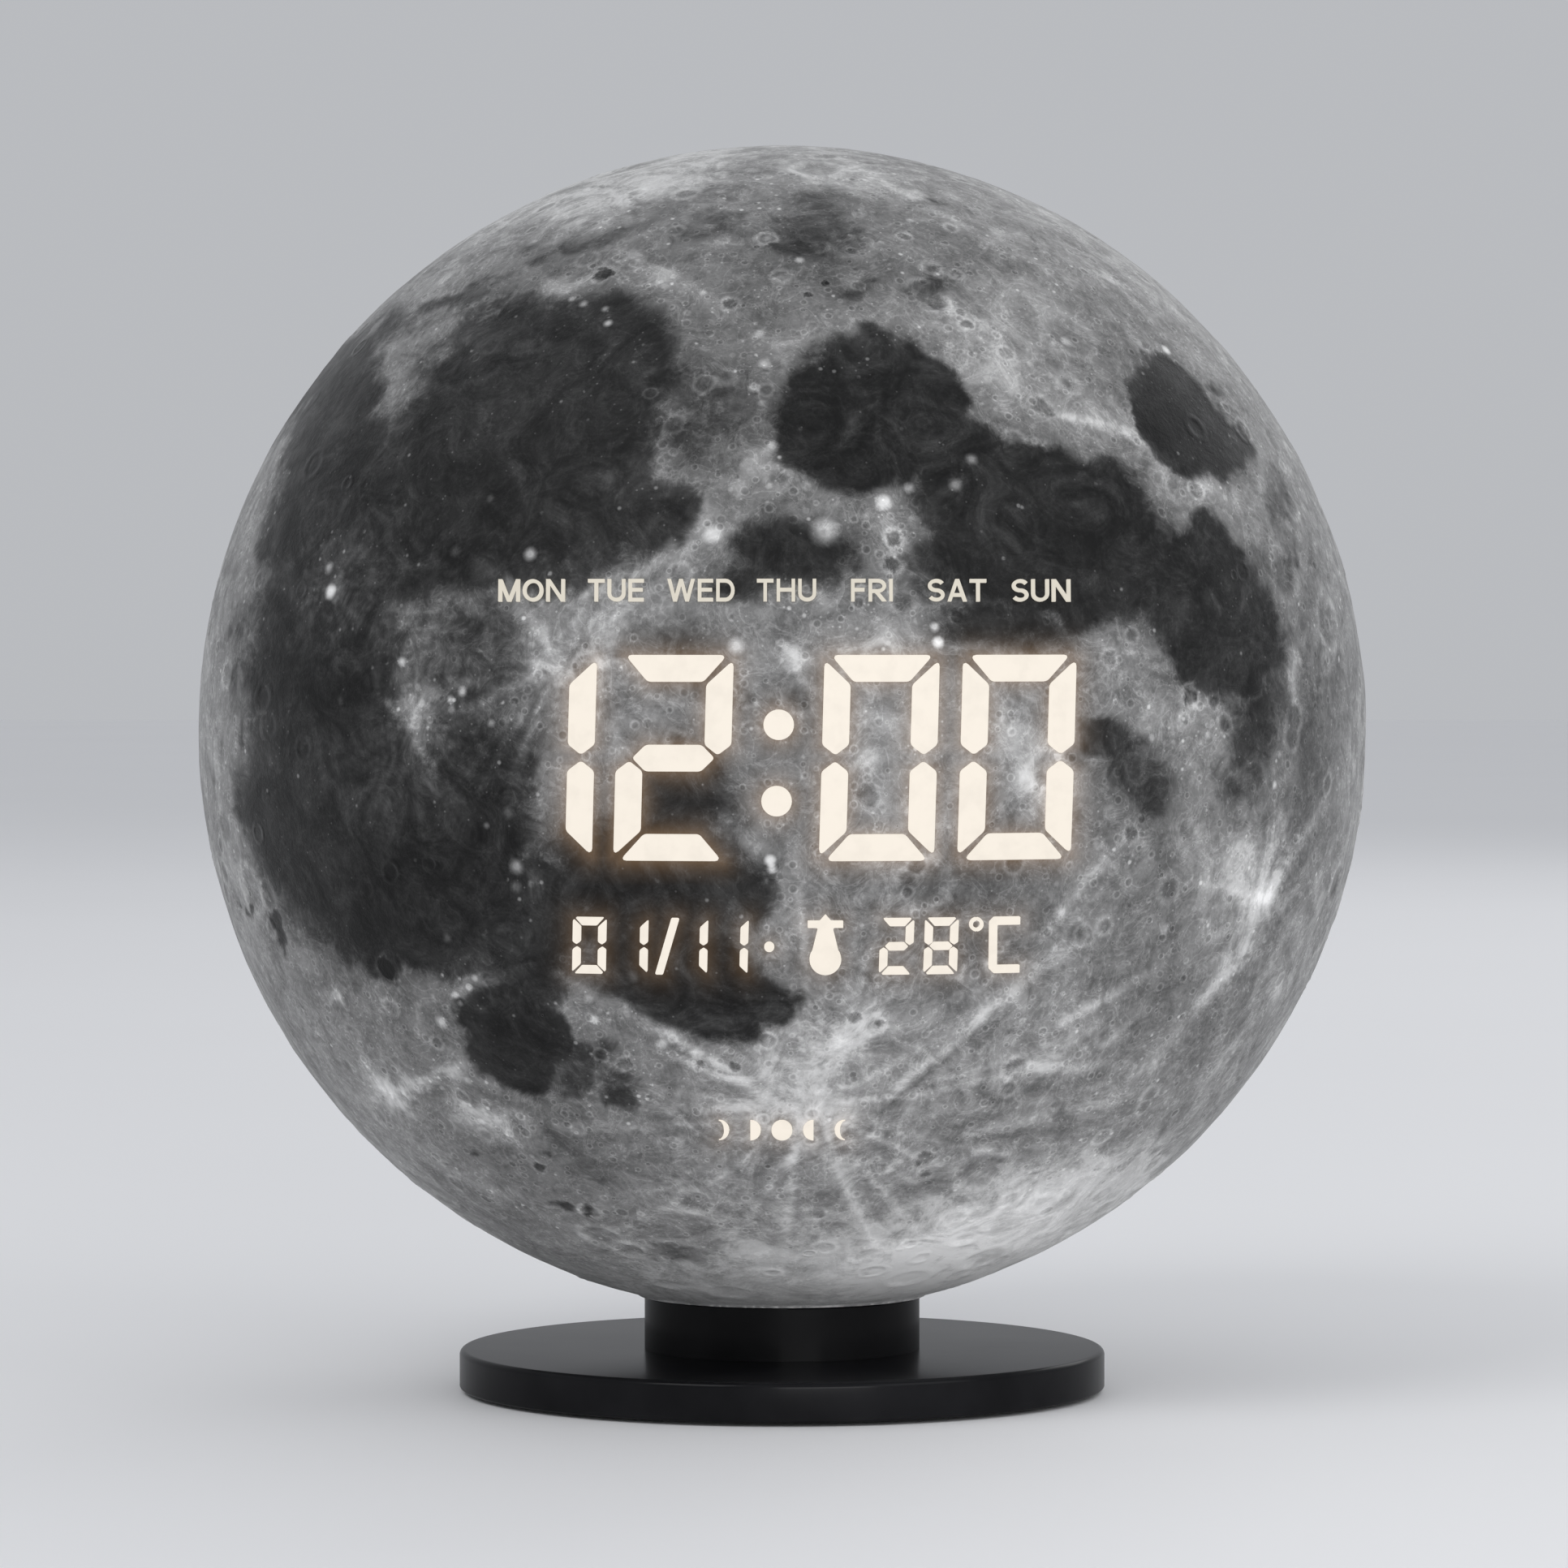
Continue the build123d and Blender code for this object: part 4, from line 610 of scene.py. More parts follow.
SPOTS = rows(Spot, (
    (-0.775, 0.247, 0.011, 0.8), (-0.777, 0.287, 0.009, 0.4), (-0.432, 0.316, 0.010, 0.6),
    (-0.560, 0.320, 0.009, 0.2), (-0.500, 0.410, 0.006, 0.2), (-0.118, 0.350, 0.013, 0.4),
    (0.073, 0.355, 0.019, 0.5), (0.175, 0.405, 0.011, 0.5), (0.218, 0.430, 0.008, 0.3),
    (0.298, 0.435, 0.010, 0.35), (0.325, 0.478, 0.009, 0.4), (0.268, 0.166, 0.008, 0.7),
    (0.262, 0.192, 0.007, 0.5), (-0.078, 0.160, 0.012, 0.4), (-0.548, 0.080, 0.007, 0.5),
    (-0.568, 0.066, 0.006, 0.4), (-0.652, 0.130, 0.007, 0.4), (-0.499, 0.026, 0.006, 0.3),
    (-0.456, -0.220, 0.011, 0.45), (-0.457, -0.255, 0.009, 0.25), (-0.470, -0.128, 0.009, 0.2),
    (-0.507, -0.150, 0.005, 0.3), (-0.020, -0.208, 0.008, 0.7), (-0.017, -0.222, 0.007, 0.6),
    (-0.298, 0.708, 0.007, 0.6), (-0.303, 0.732, 0.006, 0.4), (-0.340, 0.740, 0.007, 0.4),
    (-0.360, 0.748, 0.006, 0.3), (-0.048, 0.600, 0.008, 0.3), (-0.030, 0.640, 0.009, 0.3),
    (-0.040, 0.690, 0.008, 0.25), (-0.015, 0.500, 0.008, 0.3), (-0.075, 0.430, 0.012, 0.2),
    (-0.190, 0.335, 0.010, 0.2), (0.030, 0.815, 0.007, 0.4), (0.487, 0.675, 0.009, 0.25),
    (0.657, 0.657, 0.008, 0.6), (0.955, 0.127, 0.005, 0.4), (0.590, 0.520, 0.012, 0.2),
    (0.845, -0.085, 0.006, 0.35), (0.830, -0.285, 0.010, 0.15), (0.655, -0.330, 0.010, 0.2),
    (0.098, -0.515, 0.013, 0.25), (-0.207, -0.525, 0.008, 0.3), (-0.585, -0.490, 0.010, 0.35),
    (-0.537, -0.430, 0.006, 0.4), (-0.560, -0.443, 0.006, 0.35), (-0.552, -0.458, 0.005, 0.3),
    (-0.575, -0.345, 0.008, 0.2), (-0.322, -0.484, 0.007, 0.35), (-0.332, -0.448, 0.007, 0.25),
    (-0.255, -0.410, 0.009, 0.2), (-0.680, -0.615, 0.014, 0.2), (-0.757, 0.060, 0.006, 0.15),
    (-0.050, 0.962, 0.012, 0.15), (-0.025, 0.850, 0.009, 0.15), (0.000, 0.785, 0.009, 0.15),
))

RINGS = rows(Ring, (
    (-0.027, 0.850, 0.016, 0.24), (0.000, 0.785, 0.016, 0.20), (-0.305, 0.790, 0.019, 0.14, 0.26),
    (0.258, 0.800, 0.018, 0.16, 0.08), (0.210, 0.852, 0.012, 0.20), (0.290, 0.866, 0.013, 0.18),
    (0.120, 0.830, 0.012, 0.14), (0.315, 0.705, 0.013, 0.16, 0.10), (0.305, 0.725, 0.010, 0.14, 0.08),
    (0.445, 0.565, 0.022, 0.10, 0.10), (-0.090, 0.740, 0.014, 0.16, 0.06), (-0.185, 0.535, 0.018, 0.12),
    (-0.135, 0.605, 0.016, 0.14), (-0.225, 0.590, 0.010, 0.12), (0.045, 0.755, 0.010, 0.04, 0.20),
    (0.075, 0.775, 0.008, 0.04, 0.20), (0.190, 0.300, 0.016, 0.14, 0.14), (0.190, 0.345, 0.014, 0.16, 0.12),
    (0.700, 0.070, 0.018, 0.16, 0.16), (0.740, 0.060, 0.014, 0.14, 0.12), (0.690, 0.030, 0.012, 0.12, 0.10),
    (0.760, 0.020, 0.016, 0.14, 0.08), (0.560, 0.135, 0.014, 0.14, 0.06), (0.600, 0.175, 0.012, 0.12, 0.06),
    (0.600, -0.165, 0.016, 0.12, 0.12), (0.520, -0.340, 0.018, 0.14, 0.04),
    (0.400, -0.570, 0.022, 0.12, 0.06), (0.245, -0.725, 0.020, 0.08, 0.16),
    (0.245, -0.752, 0.016, 0.08, 0.14), (0.150, -0.100, 0.022, 0.12, 0.03),
    (-0.525, -0.440, 0.030, 0.10, 0.0), (-0.680, -0.400, 0.022, 0.10, 0.20),
    (-0.310, -0.545, 0.012, 0.14, 0.06), (-0.270, -0.560, 0.014, 0.12, 0.08),
    (-0.140, -0.560, 0.012, 0.10, 0.10), (-0.080, -0.565, 0.010, 0.08, 0.14),
    (0.125, -0.480, 0.013, 0.08, 0.20), (0.170, -0.490, 0.010, 0.06, 0.14),
    (-0.415, -0.742, 0.014, 0.10, 0.20), (-0.250, -0.840, 0.020, 0.08, 0.06),
    (-0.550, -0.620, 0.014, 0.12, 0.08), (0.060, -0.820, 0.018, 0.08, 0.06),
    (0.300, -0.800, 0.022, 0.06, 0.10),
))

RAY_CRATERS = rows(RayCrater, (
    (0.057, -0.63, 0.008, 0.95, 0.17, 11.0), (-0.385, 0.13, 0.010, 0.40, 0.20, 8.0),
    (-0.64, 0.015, 0.008, 0.28, 0.20, 7.0), (-0.775, 0.25, 0.010, 0.24, 0.22, 6.0),
    (0.83, -0.285, 0.008, 0.34, 0.13, 8.0), (0.42, -0.08, 0.012, 0.20, 0.12, 5.0),
    (-0.67, -0.61, 0.010, 0.12, 0.25, 5.0),
))


def ease(value: np.ndarray, low: float, high: float) -> np.ndarray:
    """Smooth step from 0 at low to 1 at high."""
    share = np.clip((value - low) / (high - low), 0, 1)
    return share * share * (3 - 2 * share)


@dataclass(frozen=True)
class Cloud:
    """Cloudy noise about zero over the directions from the globe's centre."""

    scale: float
    octaves: int
    offset: float
    fade: float = 0.9
    finer: float = 2.1

    def at(self, n: np.ndarray) -> np.ndarray:
        """Value at each direction."""
        shift = Vector((self.offset, self.offset * 0.7, -self.offset))
        points = (Vector(row) * self.scale + shift for row in n.tolist())
        values = (noise.fractal(p, self.fade, self.finer, self.octaves) for p in points)
        return np.fromiter(values, dtype=float, count=len(n))


@dataclass(frozen=True)
class CraterField:
    """Random craters of the relief. Radii are shares of the globe's radius, widths of a crater's own."""

    count: int = 520
    seed: int = 7
    least_r: float = 0.010
    extra_r: float = 0.042
    rarity: float = 3.5
    least_strength: float = 0.3
    reach: float = 2.0
    rim_w: float = 0.22
    bowl_r: float = 0.55
    rim_rise: float = 0.7
    bowl_drop: float = 0.9
    rim_light: float = 0.55
    bowl_shade: float = 0.30
    sea_calm: float = 0.75

    def lay(self, n: np.ndarray, sea: np.ndarray) -> tuple[np.ndarray, np.ndarray]:
        """Lay the craters over the globe.

        Args:
            n: unit directions.
            sea: how much each lies in a dark plain.

        Returns:
            Height as a share of the relief, and how bright each place is made.
        """
        rng = random.Random(self.seed)
        height = np.zeros(len(n))
        bright = np.zeros(len(n))
        for _ in range(self.count):
            z = rng.uniform(-1, 1)
            turn = rng.uniform(0, 2 * math.pi)
            flat = math.sqrt(1 - z * z)
            centre = np.array((flat * math.cos(turn), flat * math.sin(turn), z))
            radius = self.least_r + self.extra_r * rng.random() ** self.rarity
            strength = rng.uniform(self.least_strength, 1.0)
            distance = np.linalg.norm(n - centre, axis=1) / radius
            near = distance < self.reach
            strength = strength * (1 - self.sea_calm * sea[near])
            rim = np.exp(-((distance[near] - 1) / self.rim_w) ** 2)
            bowl = 1 - ease(distance[near], self.bowl_r, 1.0)
            height[near] += strength * (self.rim_rise * rim - self.bowl_drop * bowl)
            bright[near] += strength * (self.rim_light * rim - self.bowl_shade * bowl)
        return height, bright


@dataclass
class MoonGlobe:
    """The globe's two half shells, with the moon's relief and colours."""

    wall: float = 1.6 * MM
    bore_r: float = 12.5 * MM
    relief: float = 0.22 * MM
    seam_dip: float = 0.10 * MM
    inner_rings: int = 7
    detail: int = 8
    eye_distance: float = 11.6
    crater_field: CraterField = CraterField()
    coast_warp: float = 0.030
    coast_clouds: tuple[Cloud, Cloud] = (Cloud(4.0, 3, 3.0), Cloud(4.0, 3, 9.0))
    bay_warp: float = 0.020
    bay_clouds: tuple[Cloud, Cloud] = (Cloud(15.0, 4, 13.0), Cloud(15.0, 4, 19.0))
    far_cloud: Cloud = Cloud(1.7, 4, 21.0)
    ray_cloud: Cloud = Cloud(1.0, 4, 50.0)
    ray_count: float = 1.3
    ray_wander: float = 1.2
    ray_shift: float = 7.0
    rough_cloud: Cloud = Cloud(9.0, 7, 33.0)
    ray_bend: float = 0.12
    coast_blur: float = 1.7
    softest: float = 0.8
    # painted highlight: a band along the outline's edge is made brighter, standing in for rim light
    painted_rim_light: float = 0.10
    crater_lift: float = 0.22
    painted_rim_span: Span = (0.88, 1.0)
    front_span: Span = (-0.02, 0.30)
    far_span: Span = (0.25, 0.75)
    far_depth: float = 0.8
    deepest_sea: float = 1.1
    land_span: Span = (0.2, 1.5)
    dotted_span: Span = (0.7, 1.4)
    ray_span: Span = (-0.15, 0.65)
    rough_h: float = 0.5
    sea_drop: float = 0.5
    sea_calm: float = 0.7
    height_span: Span = (-1.6, 1.0)
    sunk: float = 1.05
    edge_hold: float = 1.2 * MM
    sign_hold: float = 0.85
    crease_deg: float = 50.0
    tiny: float = 0.01 * MM

    def __post_init__(self) -> None:
        """Read the globe's size and place from the frame."""
        low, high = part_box("front_shell")
        self.outer_r = high[0]
        self.centre = Vector((0.0, 0.0, high[2] - self.outer_r))
        self.rim_z = low[2] - self.centre.z
        self.inner_r = self.outer_r - self.wall

    def seen_place(self, n: np.ndarray) -> tuple[np.ndarray, np.ndarray]:
        """Where the front view shows each direction, as shares of the outline.

        Args:
            n: unit directions from the globe's centre, one in each row.

        Returns:
            The places across and up; the rear half gets the place of its mirror image.
        """
        near = np.abs(n[:, 1])
        spread = math.sqrt(self.eye_distance ** 2 - 1) / (self.eye_distance - near)
        return n[:, 0] * spread, n[:, 2] * spread

    def direction(self, x: float, z: float) -> Vector:
        """Direction from the centre to a place on the front, given as the front view shows it.

        Args:
            x: share of the outline's radius to the right.
            z: share upwards.

        Returns:
            The unit direction.
        """
        seen = math.hypot(x, z)
        slope = seen / math.sqrt(self.eye_distance ** 2 - 1)
        angle = math.asin(min(1.0, slope * self.eye_distance / math.sqrt(1 + slope ** 2))) - math.atan(slope)
        share = math.sin(angle) / max(seen, NO_LENGTH)
        return Vector((x * share, -math.cos(angle), z * share))

    @staticmethod
    def oval(x: np.ndarray, z: np.ndarray, patch: Patch) -> np.ndarray:
        """Distance from a patch's middle, where 1 is its edge."""
        turn = math.radians(patch.turn_deg)
        dx = x - patch.x
        dz = z - patch.z
        along = dx * math.cos(turn) + dz * math.sin(turn)
        across = dz * math.cos(turn) - dx * math.sin(turn)
        return np.hypot(along / patch.half_w, across / patch.half_h)

    @staticmethod
    def along(x: np.ndarray, z: np.ndarray, streak: Streak) -> np.ndarray:
        """How strongly a streak shows at each place, from 0 to 1."""
        dx, dz = streak.x1 - streak.x0, streak.z1 - streak.z0
        share = ((x - streak.x0) * dx + (z - streak.z0) * dz) / (dx * dx + dz * dz)
        held = np.clip(share, 0, 1)
        away = np.hypot(x - streak.x0 - held * dx, z - streak.z0 - held * dz)
        return (1 - streak.taper * held) * np.exp(-(away / streak.half_w) ** 2)

    def rays(self, n: np.ndarray, crater: RayCrater) -> np.ndarray:
        """Brightness of one crater's halo and streaks.

        Args:
            n: unit directions.
            crater: the crater.

        Returns:
            The lift in tone.
        """
        middle = self.direction(crater.x, crater.z)
        side = middle.orthogonal().normalized()
        up = middle.cross(side)
        distance = np.linalg.norm(n - np.array(middle), axis=1)
        lift = np.exp(-distance / (crater.core * crater.halo_reach)) * crater.halo_lift
        near = distance < crater.reach
        flat = np.stack((n[near] @ np.array(side), n[near] @ np.array(up)), axis=1)
        flat /= np.maximum(np.linalg.norm(flat, axis=1), NO_LENGTH)[:, None]
        along = distance[near] * self.ray_wander + crater.x * self.ray_shift
        spread = np.column_stack((flat * crater.spokes * self.ray_count, along))
        streaks = ease(self.ray_cloud.at(spread), *self.ray_span)
        lift[near] += streaks * (1 - distance[near] / crater.reach) ** crater.fade
        return lift * crater.strength

    def fields(self, n: np.ndarray) -> dict[str, np.ndarray]:
        """Everything that varies slowly over the moon.

        Args:
            n: unit directions.

        Returns:
            The share of dark plain, the lift in brightness, the relief and how dense bright dots are.
        """
        x, z = self.seen_place(n)
        limb = ease(np.hypot(x, z), *self.painted_rim_span)
        bays_x, bays_z = (self.bay_warp * cloud.at(n) for cloud in self.bay_clouds)
        coast_x, coast_z = (self.coast_warp * cloud.at(n) for cloud in self.coast_clouds)
        ray_x, ray_z = x + bays_x * self.ray_bend, z + bays_z * self.ray_bend
        x, z = x + bays_x + coast_x, z + bays_z + coast_z
        front = 1 - ease(n[:, 1], *self.front_span)
        sea = np.zeros(len(n))
        for patch in SEAS:
            edge = min(patch.soft * self.coast_blur, self.softest)
            inside = 1 - ease(self.oval(x, z, patch), 1 - edge, 1 + edge)
            sea = np.maximum(sea, inside * patch.amount)
        far = ease(self.far_cloud.at(n), *self.far_span) * (1 - front) * self.far_depth
        sea = np.clip(sea * front + far, 0, self.deepest_sea)
        # painted highlight along the outline's edge first, then the brighter and darker areas, which also
        # hold painted light along the bottom edge
        lift = self.painted_rim_light * limb * front
        for patch in LANDS_AND_PAINTED_LIGHT:
            lift = lift + patch.amount * (1 - ease(self.oval(x, z, patch), *self.land_span)) * front
        for streak in STREAKS:
            lift = lift + streak.lift * self.along(ray_x, ray_z, streak) * front
        for crater in RAY_CRATERS:
            lift = lift + self.rays(n, crater) * front
        dots = np.zeros(len(n))
        for patch in DOTTED:
            inside = 1 - ease(self.oval(ray_x, ray_z, patch), *self.dotted_span)
            dots = np.maximum(dots, patch.amount * inside * front)
        flat = np.clip(sea, 0, 1)
        height, bright = self.crater_field.lay(n, flat)
        rough = self.rough_h * self.rough_cloud.at(n) * (1 - self.sea_calm * flat)
        height = height + rough - self.sea_drop * sea
        return {"sea": sea, "lift": lift + self.crater_lift * bright, "height": height, "dots": dots}

    def half(self, side: int) -> bmesh.types.BMesh:
        """Smooth closed half shell.

        Args:
            side: -1 for the front half, 1 for the rear half.

        Returns:
            The shell about the globe's centre.
        """
        shell = bmesh.new()
        bmesh.ops.create_icosphere(shell, subdivisions=self.detail, radius=self.outer_r)
        for point, normal in (((0, 0, 0), (0, -side, 0)), ((0, 0, self.rim_z), (0, 0, -1))):
            geom = shell.verts[:] + shell.edges[:] + shell.faces[:]
            bmesh.ops.bisect_plane(
                shell, geom=geom, dist=WELD, plane_co=point, plane_no=normal, clear_outer=True
            )
        edge = [e for e in shell.edges if e.is_boundary]
        edge = self.pull(shell, edge, self.to_inner_edge)
        pole = Vector((0, side * self.inner_r, 0))
        for ring in range(1, self.inner_rings + 1):
            share = ring / (self.inner_rings + 1)

            def inwards(place: Vector, share: float = share) -> Vector:
                """Next place on the way to the pole of the inner wall."""
                step = 1 / (self.inner_rings + 2 - share * (self.inner_rings + 1))
                return place.slerp(pole, step).normalized() * self.inner_r

            edge = self.pull(shell, edge, inwards)
        faces = bmesh.ops.edgeloop_fill(shell, edges=edge)["faces"]
        bmesh.ops.poke(shell, faces=faces)
        bmesh.ops.recalc_face_normals(shell, faces=shell.faces[:])
        return shell

    def to_inner_edge(self, place: Vector) -> Vector:
        """Move a point of the outer edge to the inner wall's edge."""
        if abs(place.z - self.rim_z) < self.tiny:
            flat = Vector((place.x, place.y, 0)).normalized() * self.bore_r
            return Vector((flat.x, flat.y, place.z))
        return place.normalized() * self.inner_r

    @staticmethod
    def pull(
        shell: bmesh.types.BMesh, edge: list[bmesh.types.BMEdge], move: Callable[[Vector], Vector]
    ) -> list[bmesh.types.BMEdge]:
        """Extrude an open edge and move its new points.

        Args:
            shell: the mesh.
            edge: the open edge's edges.
            move: gives a point's new place.

        Returns:
            The new open edge.
        """
        made = bmesh.ops.extrude_edge_only(shell, edges=edge)["geom"]
        for vert in (g for g in made if isinstance(g, bmesh.types.BMVert)):
            vert.co = move(vert.co.copy())
        return [g for g in made if isinstance(g, bmesh.types.BMEdge) and g.is_boundary]

    def build(
        self, name: str, side: int, material: bpy.types.Material, signs: "LightSigns"
    ) -> bpy.types.Object:
        """Make one half with its relief and its maps.

        Args:
            name: the piece's name.
            side: -1 for the front half, 1 for the rear half.
            material: the moon's finish.
            signs: the lit signs, for their warm edge glow.

        Returns:
            The finished piece.
        """
        mesh = Workshop.mesh(name, self.half(side), material, smooth=True)
        count = len(mesh.vertices)
        co = np.empty(count * 3)
        mesh.vertices.foreach_get("co", co)
        co = co.reshape(-1, 3)
        radius = np.linalg.norm(co, axis=1)
        n = co / radius[:, None]
        outside = radius > self.outer_r - self.wall / 4
        fields = self.fields(n)
        above_rim = co[:, 2] > self.rim_z + self.tiny
        edge = np.minimum(np.abs(co[:, 1]), co[:, 2] - self.rim_z)
        hold = ease(edge, 0.0, self.edge_hold) * (1 - self.sign_hold * signs.cover(co))
        height = np.clip(fields["height"], *self.height_span) * self.relief * hold
        at_seam = np.abs(co[:, 1]) < self.tiny / 10
        rise = height - self.relief * self.sunk - self.seam_dip * at_seam
        co = co + n * np.where(outside & above_rim, rise, 0.0)[:, None]
        co[:, 2] += self.centre.z
        mesh.vertices.foreach_set("co", co.ravel())
        glow = signs.glow(co - np.array((0, 0, self.centre.z)))
        fields["glow"] = glow * outside
        for key in MAPS:
            layer = mesh.attributes.new(key, "FLOAT", "POINT")
            layer.data.foreach_set("value", fields[key].astype(np.float32))
        mesh.update()
        piece = add_object(name, mesh)
        crease = Workshop.sharpen(mesh, self.crease_deg)
        log.info("%s: %d triangles, %d sharp edges", name, len(mesh.polygons), crease)
        return piece


@dataclass(frozen=True)
class MoonSkin:
    """Finish of the moon. Tones run from 0, black, to 1, white, evenly to the eye.

    The noises are the broad, rough, fine and wispy one, each with its scale, detail, roughness and twist. A
    mix says how much each of them counts, and after them the craters' rims, their floors and the ridges. A
    span says where a step or a fall starts and ends, for spots and rings as shares of their radius.
    """

    globe: MoonGlobe
    noises: tuple[Shares, ...] = (
        (5.0, 6.0, 0.62, 0.3), (22.0, 6.0, 0.70, 0.6), (120.0, 3.0, 0.65), (9.0, 7.0, 0.68, 1.8)
    )
    pit_kinds: tuple[Span, Span] = ((13.0, 0.34), (52.0, 0.40))
    rim_mix: Span = (0.5, 0.45)
    floor_mix: Span = (0.3, 0.35)
    ridge_kinds: tuple[Shares, Shares] = ((16.0, 1.2, 0.035), (55.0, 1.0, 0.06))
    ridge_mix: Span = (1.0, 0.6)
    speck_kinds: tuple[Span, Span] = ((46.0, 0.16), (90.0, 0.22))
    speck_mix: Span = (1.0, 0.6)
    dotted_kind: Span = (25.0, 0.45)
    dotted_share: float = 0.9
    coast_mix: Shares = (0.0, 1.5, 0.25, 0.9)
    coast_span: Span = (0.12, 0.90)
    land_tone: float = 0.402
    land_mix: Shares = (0.30, 0.29, 0.14, 0.38, 0.17, -0.14, 0.07)
    sea_tone: float = 0.124
    sea_mix: Shares = (0.20, 0.12, 0.05, 0.48, 0.025, 0.0, 0.03)
    speck_lift: float = 0.26
    group_span: Span = (-0.05, 0.15)
    dots_share: float = 1.2
    lift_span: Span = (-0.18, 0.18)
    lift_least: float = 0.68
    lift_extra: float = 0.64
    sea_lift_loss: float = 0.5
    ring_warp: float = 2.4
    tone_span: Span = (0.05, 0.97)
    eye_power: float = 2.2
    shoulder: float = 0.74
    shoulder_hold: float = 0.5
    seam_w: float = 0.0024
    seam_shade: float = 0.45
    lit_colour: Colour = (1.0, 0.995, 0.985)
    glow_colour: Colour = (0.115, 0.070, 0.036)
    bump_depth: float = 0.2 * MM
    bump_strength: float = 0.8
    bump_mix: Shares = (0.4, -0.6, 0.8, 0.35)
    roughness_mix: Span = (0.57, 0.14)
    specular: float = 0.18
    sheen: float = 0.12
    sheen_roughness: float = 0.4
    spot_span: Span = (0.4, 1.5)
    spot_share: float = 0.8
    ring_rim_w: float = 0.45
    ring_share: float = 0.7
    ring_floor: Span = (0.55, 1.0)
    least_pit: float = 0.03
    pit_rim: tuple[Span, Span] = ((0.62, 0.95), (1.35, 1.0))
    pit_floor: Span = (0.95, 0.5)
    ridge_noise: Span = (4.0, 0.62)
    speck_span: Span = (0.24, 0.08)
    pick_span: Span = (1.12, 1.2)
    group_share: float = 0.25

    @staticmethod
    def mixed(values: Sequence[Socket], shares: Shares) -> Socket:
        """Sum of some values, each with its share."""
        return reduce(add, (value * share for value, share in zip(values, shares) if share))

    def spot(self, tree: ShaderTree, n: Socket, spot: Spot) -> Socket:
        """Lift in tone of one small bright crater."""
        middle = self.globe.direction(spot.x, spot.z)
        away = tree.vector("DISTANCE", n, tuple(middle), output=1)
        core, edge = self.spot_span
        return away.fall(spot.radius * core, spot.radius * edge, spot.lift * self.spot_share)

    def ring(self, tree: ShaderTree, n: Socket, ring: Ring, warp: Socket) -> Socket:
        """Lift in tone of one crater: its rim less its floor."""
        middle = self.globe.direction(ring.x, ring.z)
        away = tree.vector("DISTANCE", n, tuple(middle), output=1) * (1 / ring.radius) + warp
        rim = (away - 1).math("ABSOLUTE").fall(0.0, self.ring_rim_w, ring.lift * self.ring_share)
        return rim - away.fall(*self.ring_floor, ring.drop)

    def pits(self, tree: ShaderTree, n: Socket, scale: float, size: float) -> tuple[Socket, Socket]:
        """Ring craters strewn over the surface.

        Args:
            tree: the shader.
            n: unit direction.
            scale: how many cells a unit holds.
            size: the largest crater's share of its cell.

        Returns:
            The bright rims and the dark floors.
        """
        distance, pick, _ = tree.picked_cells(n, scale)
        ring = distance / (pick * pick * size + self.least_pit)
        inner, outer = self.pit_rim
        rim = ring.step(*inner) * ring.step(*outer)
        return rim, ring.step(*self.pit_floor)

    def ridges(self, tree: ShaderTree, n: Socket, scale: float, warp: float, width: float) -> Socket:
        """Thin curling bright lines."""
        cloud = tree.noise(n, scale, *self.ridge_noise, warp)
        return (cloud - 0.5).math("ABSOLUTE").step(width, 0.0)

    def specks(self, tree: ShaderTree, n: Socket, scale: float, share: float, groups: Socket) -> Socket:
        """Small bright dots, most of them in loose groups."""
        distance, _, pick = tree.picked_cells(n, scale)
        low, high = self.pick_span
        kept = (pick + groups * self.group_share).step(low - share, high - share)
        return distance.step(*self.speck_span) * kept

    def make(self) -> bpy.types.Material:
        """Build the material."""
        tree = ShaderTree("moon skin")
        globe = self.globe
        n = tree.vector("NORMALIZE", tree.shifted(tree.place(), globe.centre, 1 / globe.outer_r))
        maps = {key: tree.node("ShaderNodeAttribute", {"attribute_name": key}, output="Fac") for key in MAPS}
        clouds = [tree.noise(n, *values) - 0.5 for values in self.noises]
        broad, rough, fine, wisps = clouds
        plain = (maps["sea"] + self.mixed(clouds, self.coast_mix)).step(*self.coast_span)
        pit_rims, pit_floors = zip(*(self.pits(tree, n, *kind) for kind in self.pit_kinds))
        lines = self.mixed([self.ridges(tree, n, *kind) for kind in self.ridge_kinds], self.ridge_mix)
        rims, floors = self.mixed(pit_rims, self.rim_mix), self.mixed(pit_floors, self.floor_mix)
        parts = (*clouds, rims, floors, lines)
        land = self.land_tone + self.mixed(parts, self.land_mix)
        sea = self.sea_tone + self.mixed(parts, self.sea_mix)
        groups = broad.step(*self.group_span) + maps["dots"] * self.dots_share
        strewn = [self.specks(tree, n, *kind, groups) for kind in self.speck_kinds]
        dotted = self.specks(tree, n, *self.dotted_kind, maps["dots"]) * maps["dots"]
        specks = self.mixed(strewn, self.speck_mix) + dotted * self.dotted_share
        tone = land * (1 - plain) + sea * plain + specks * self.speck_lift
        uneven = self.lift_least + self.lift_extra * wisps.step(*self.lift_span)
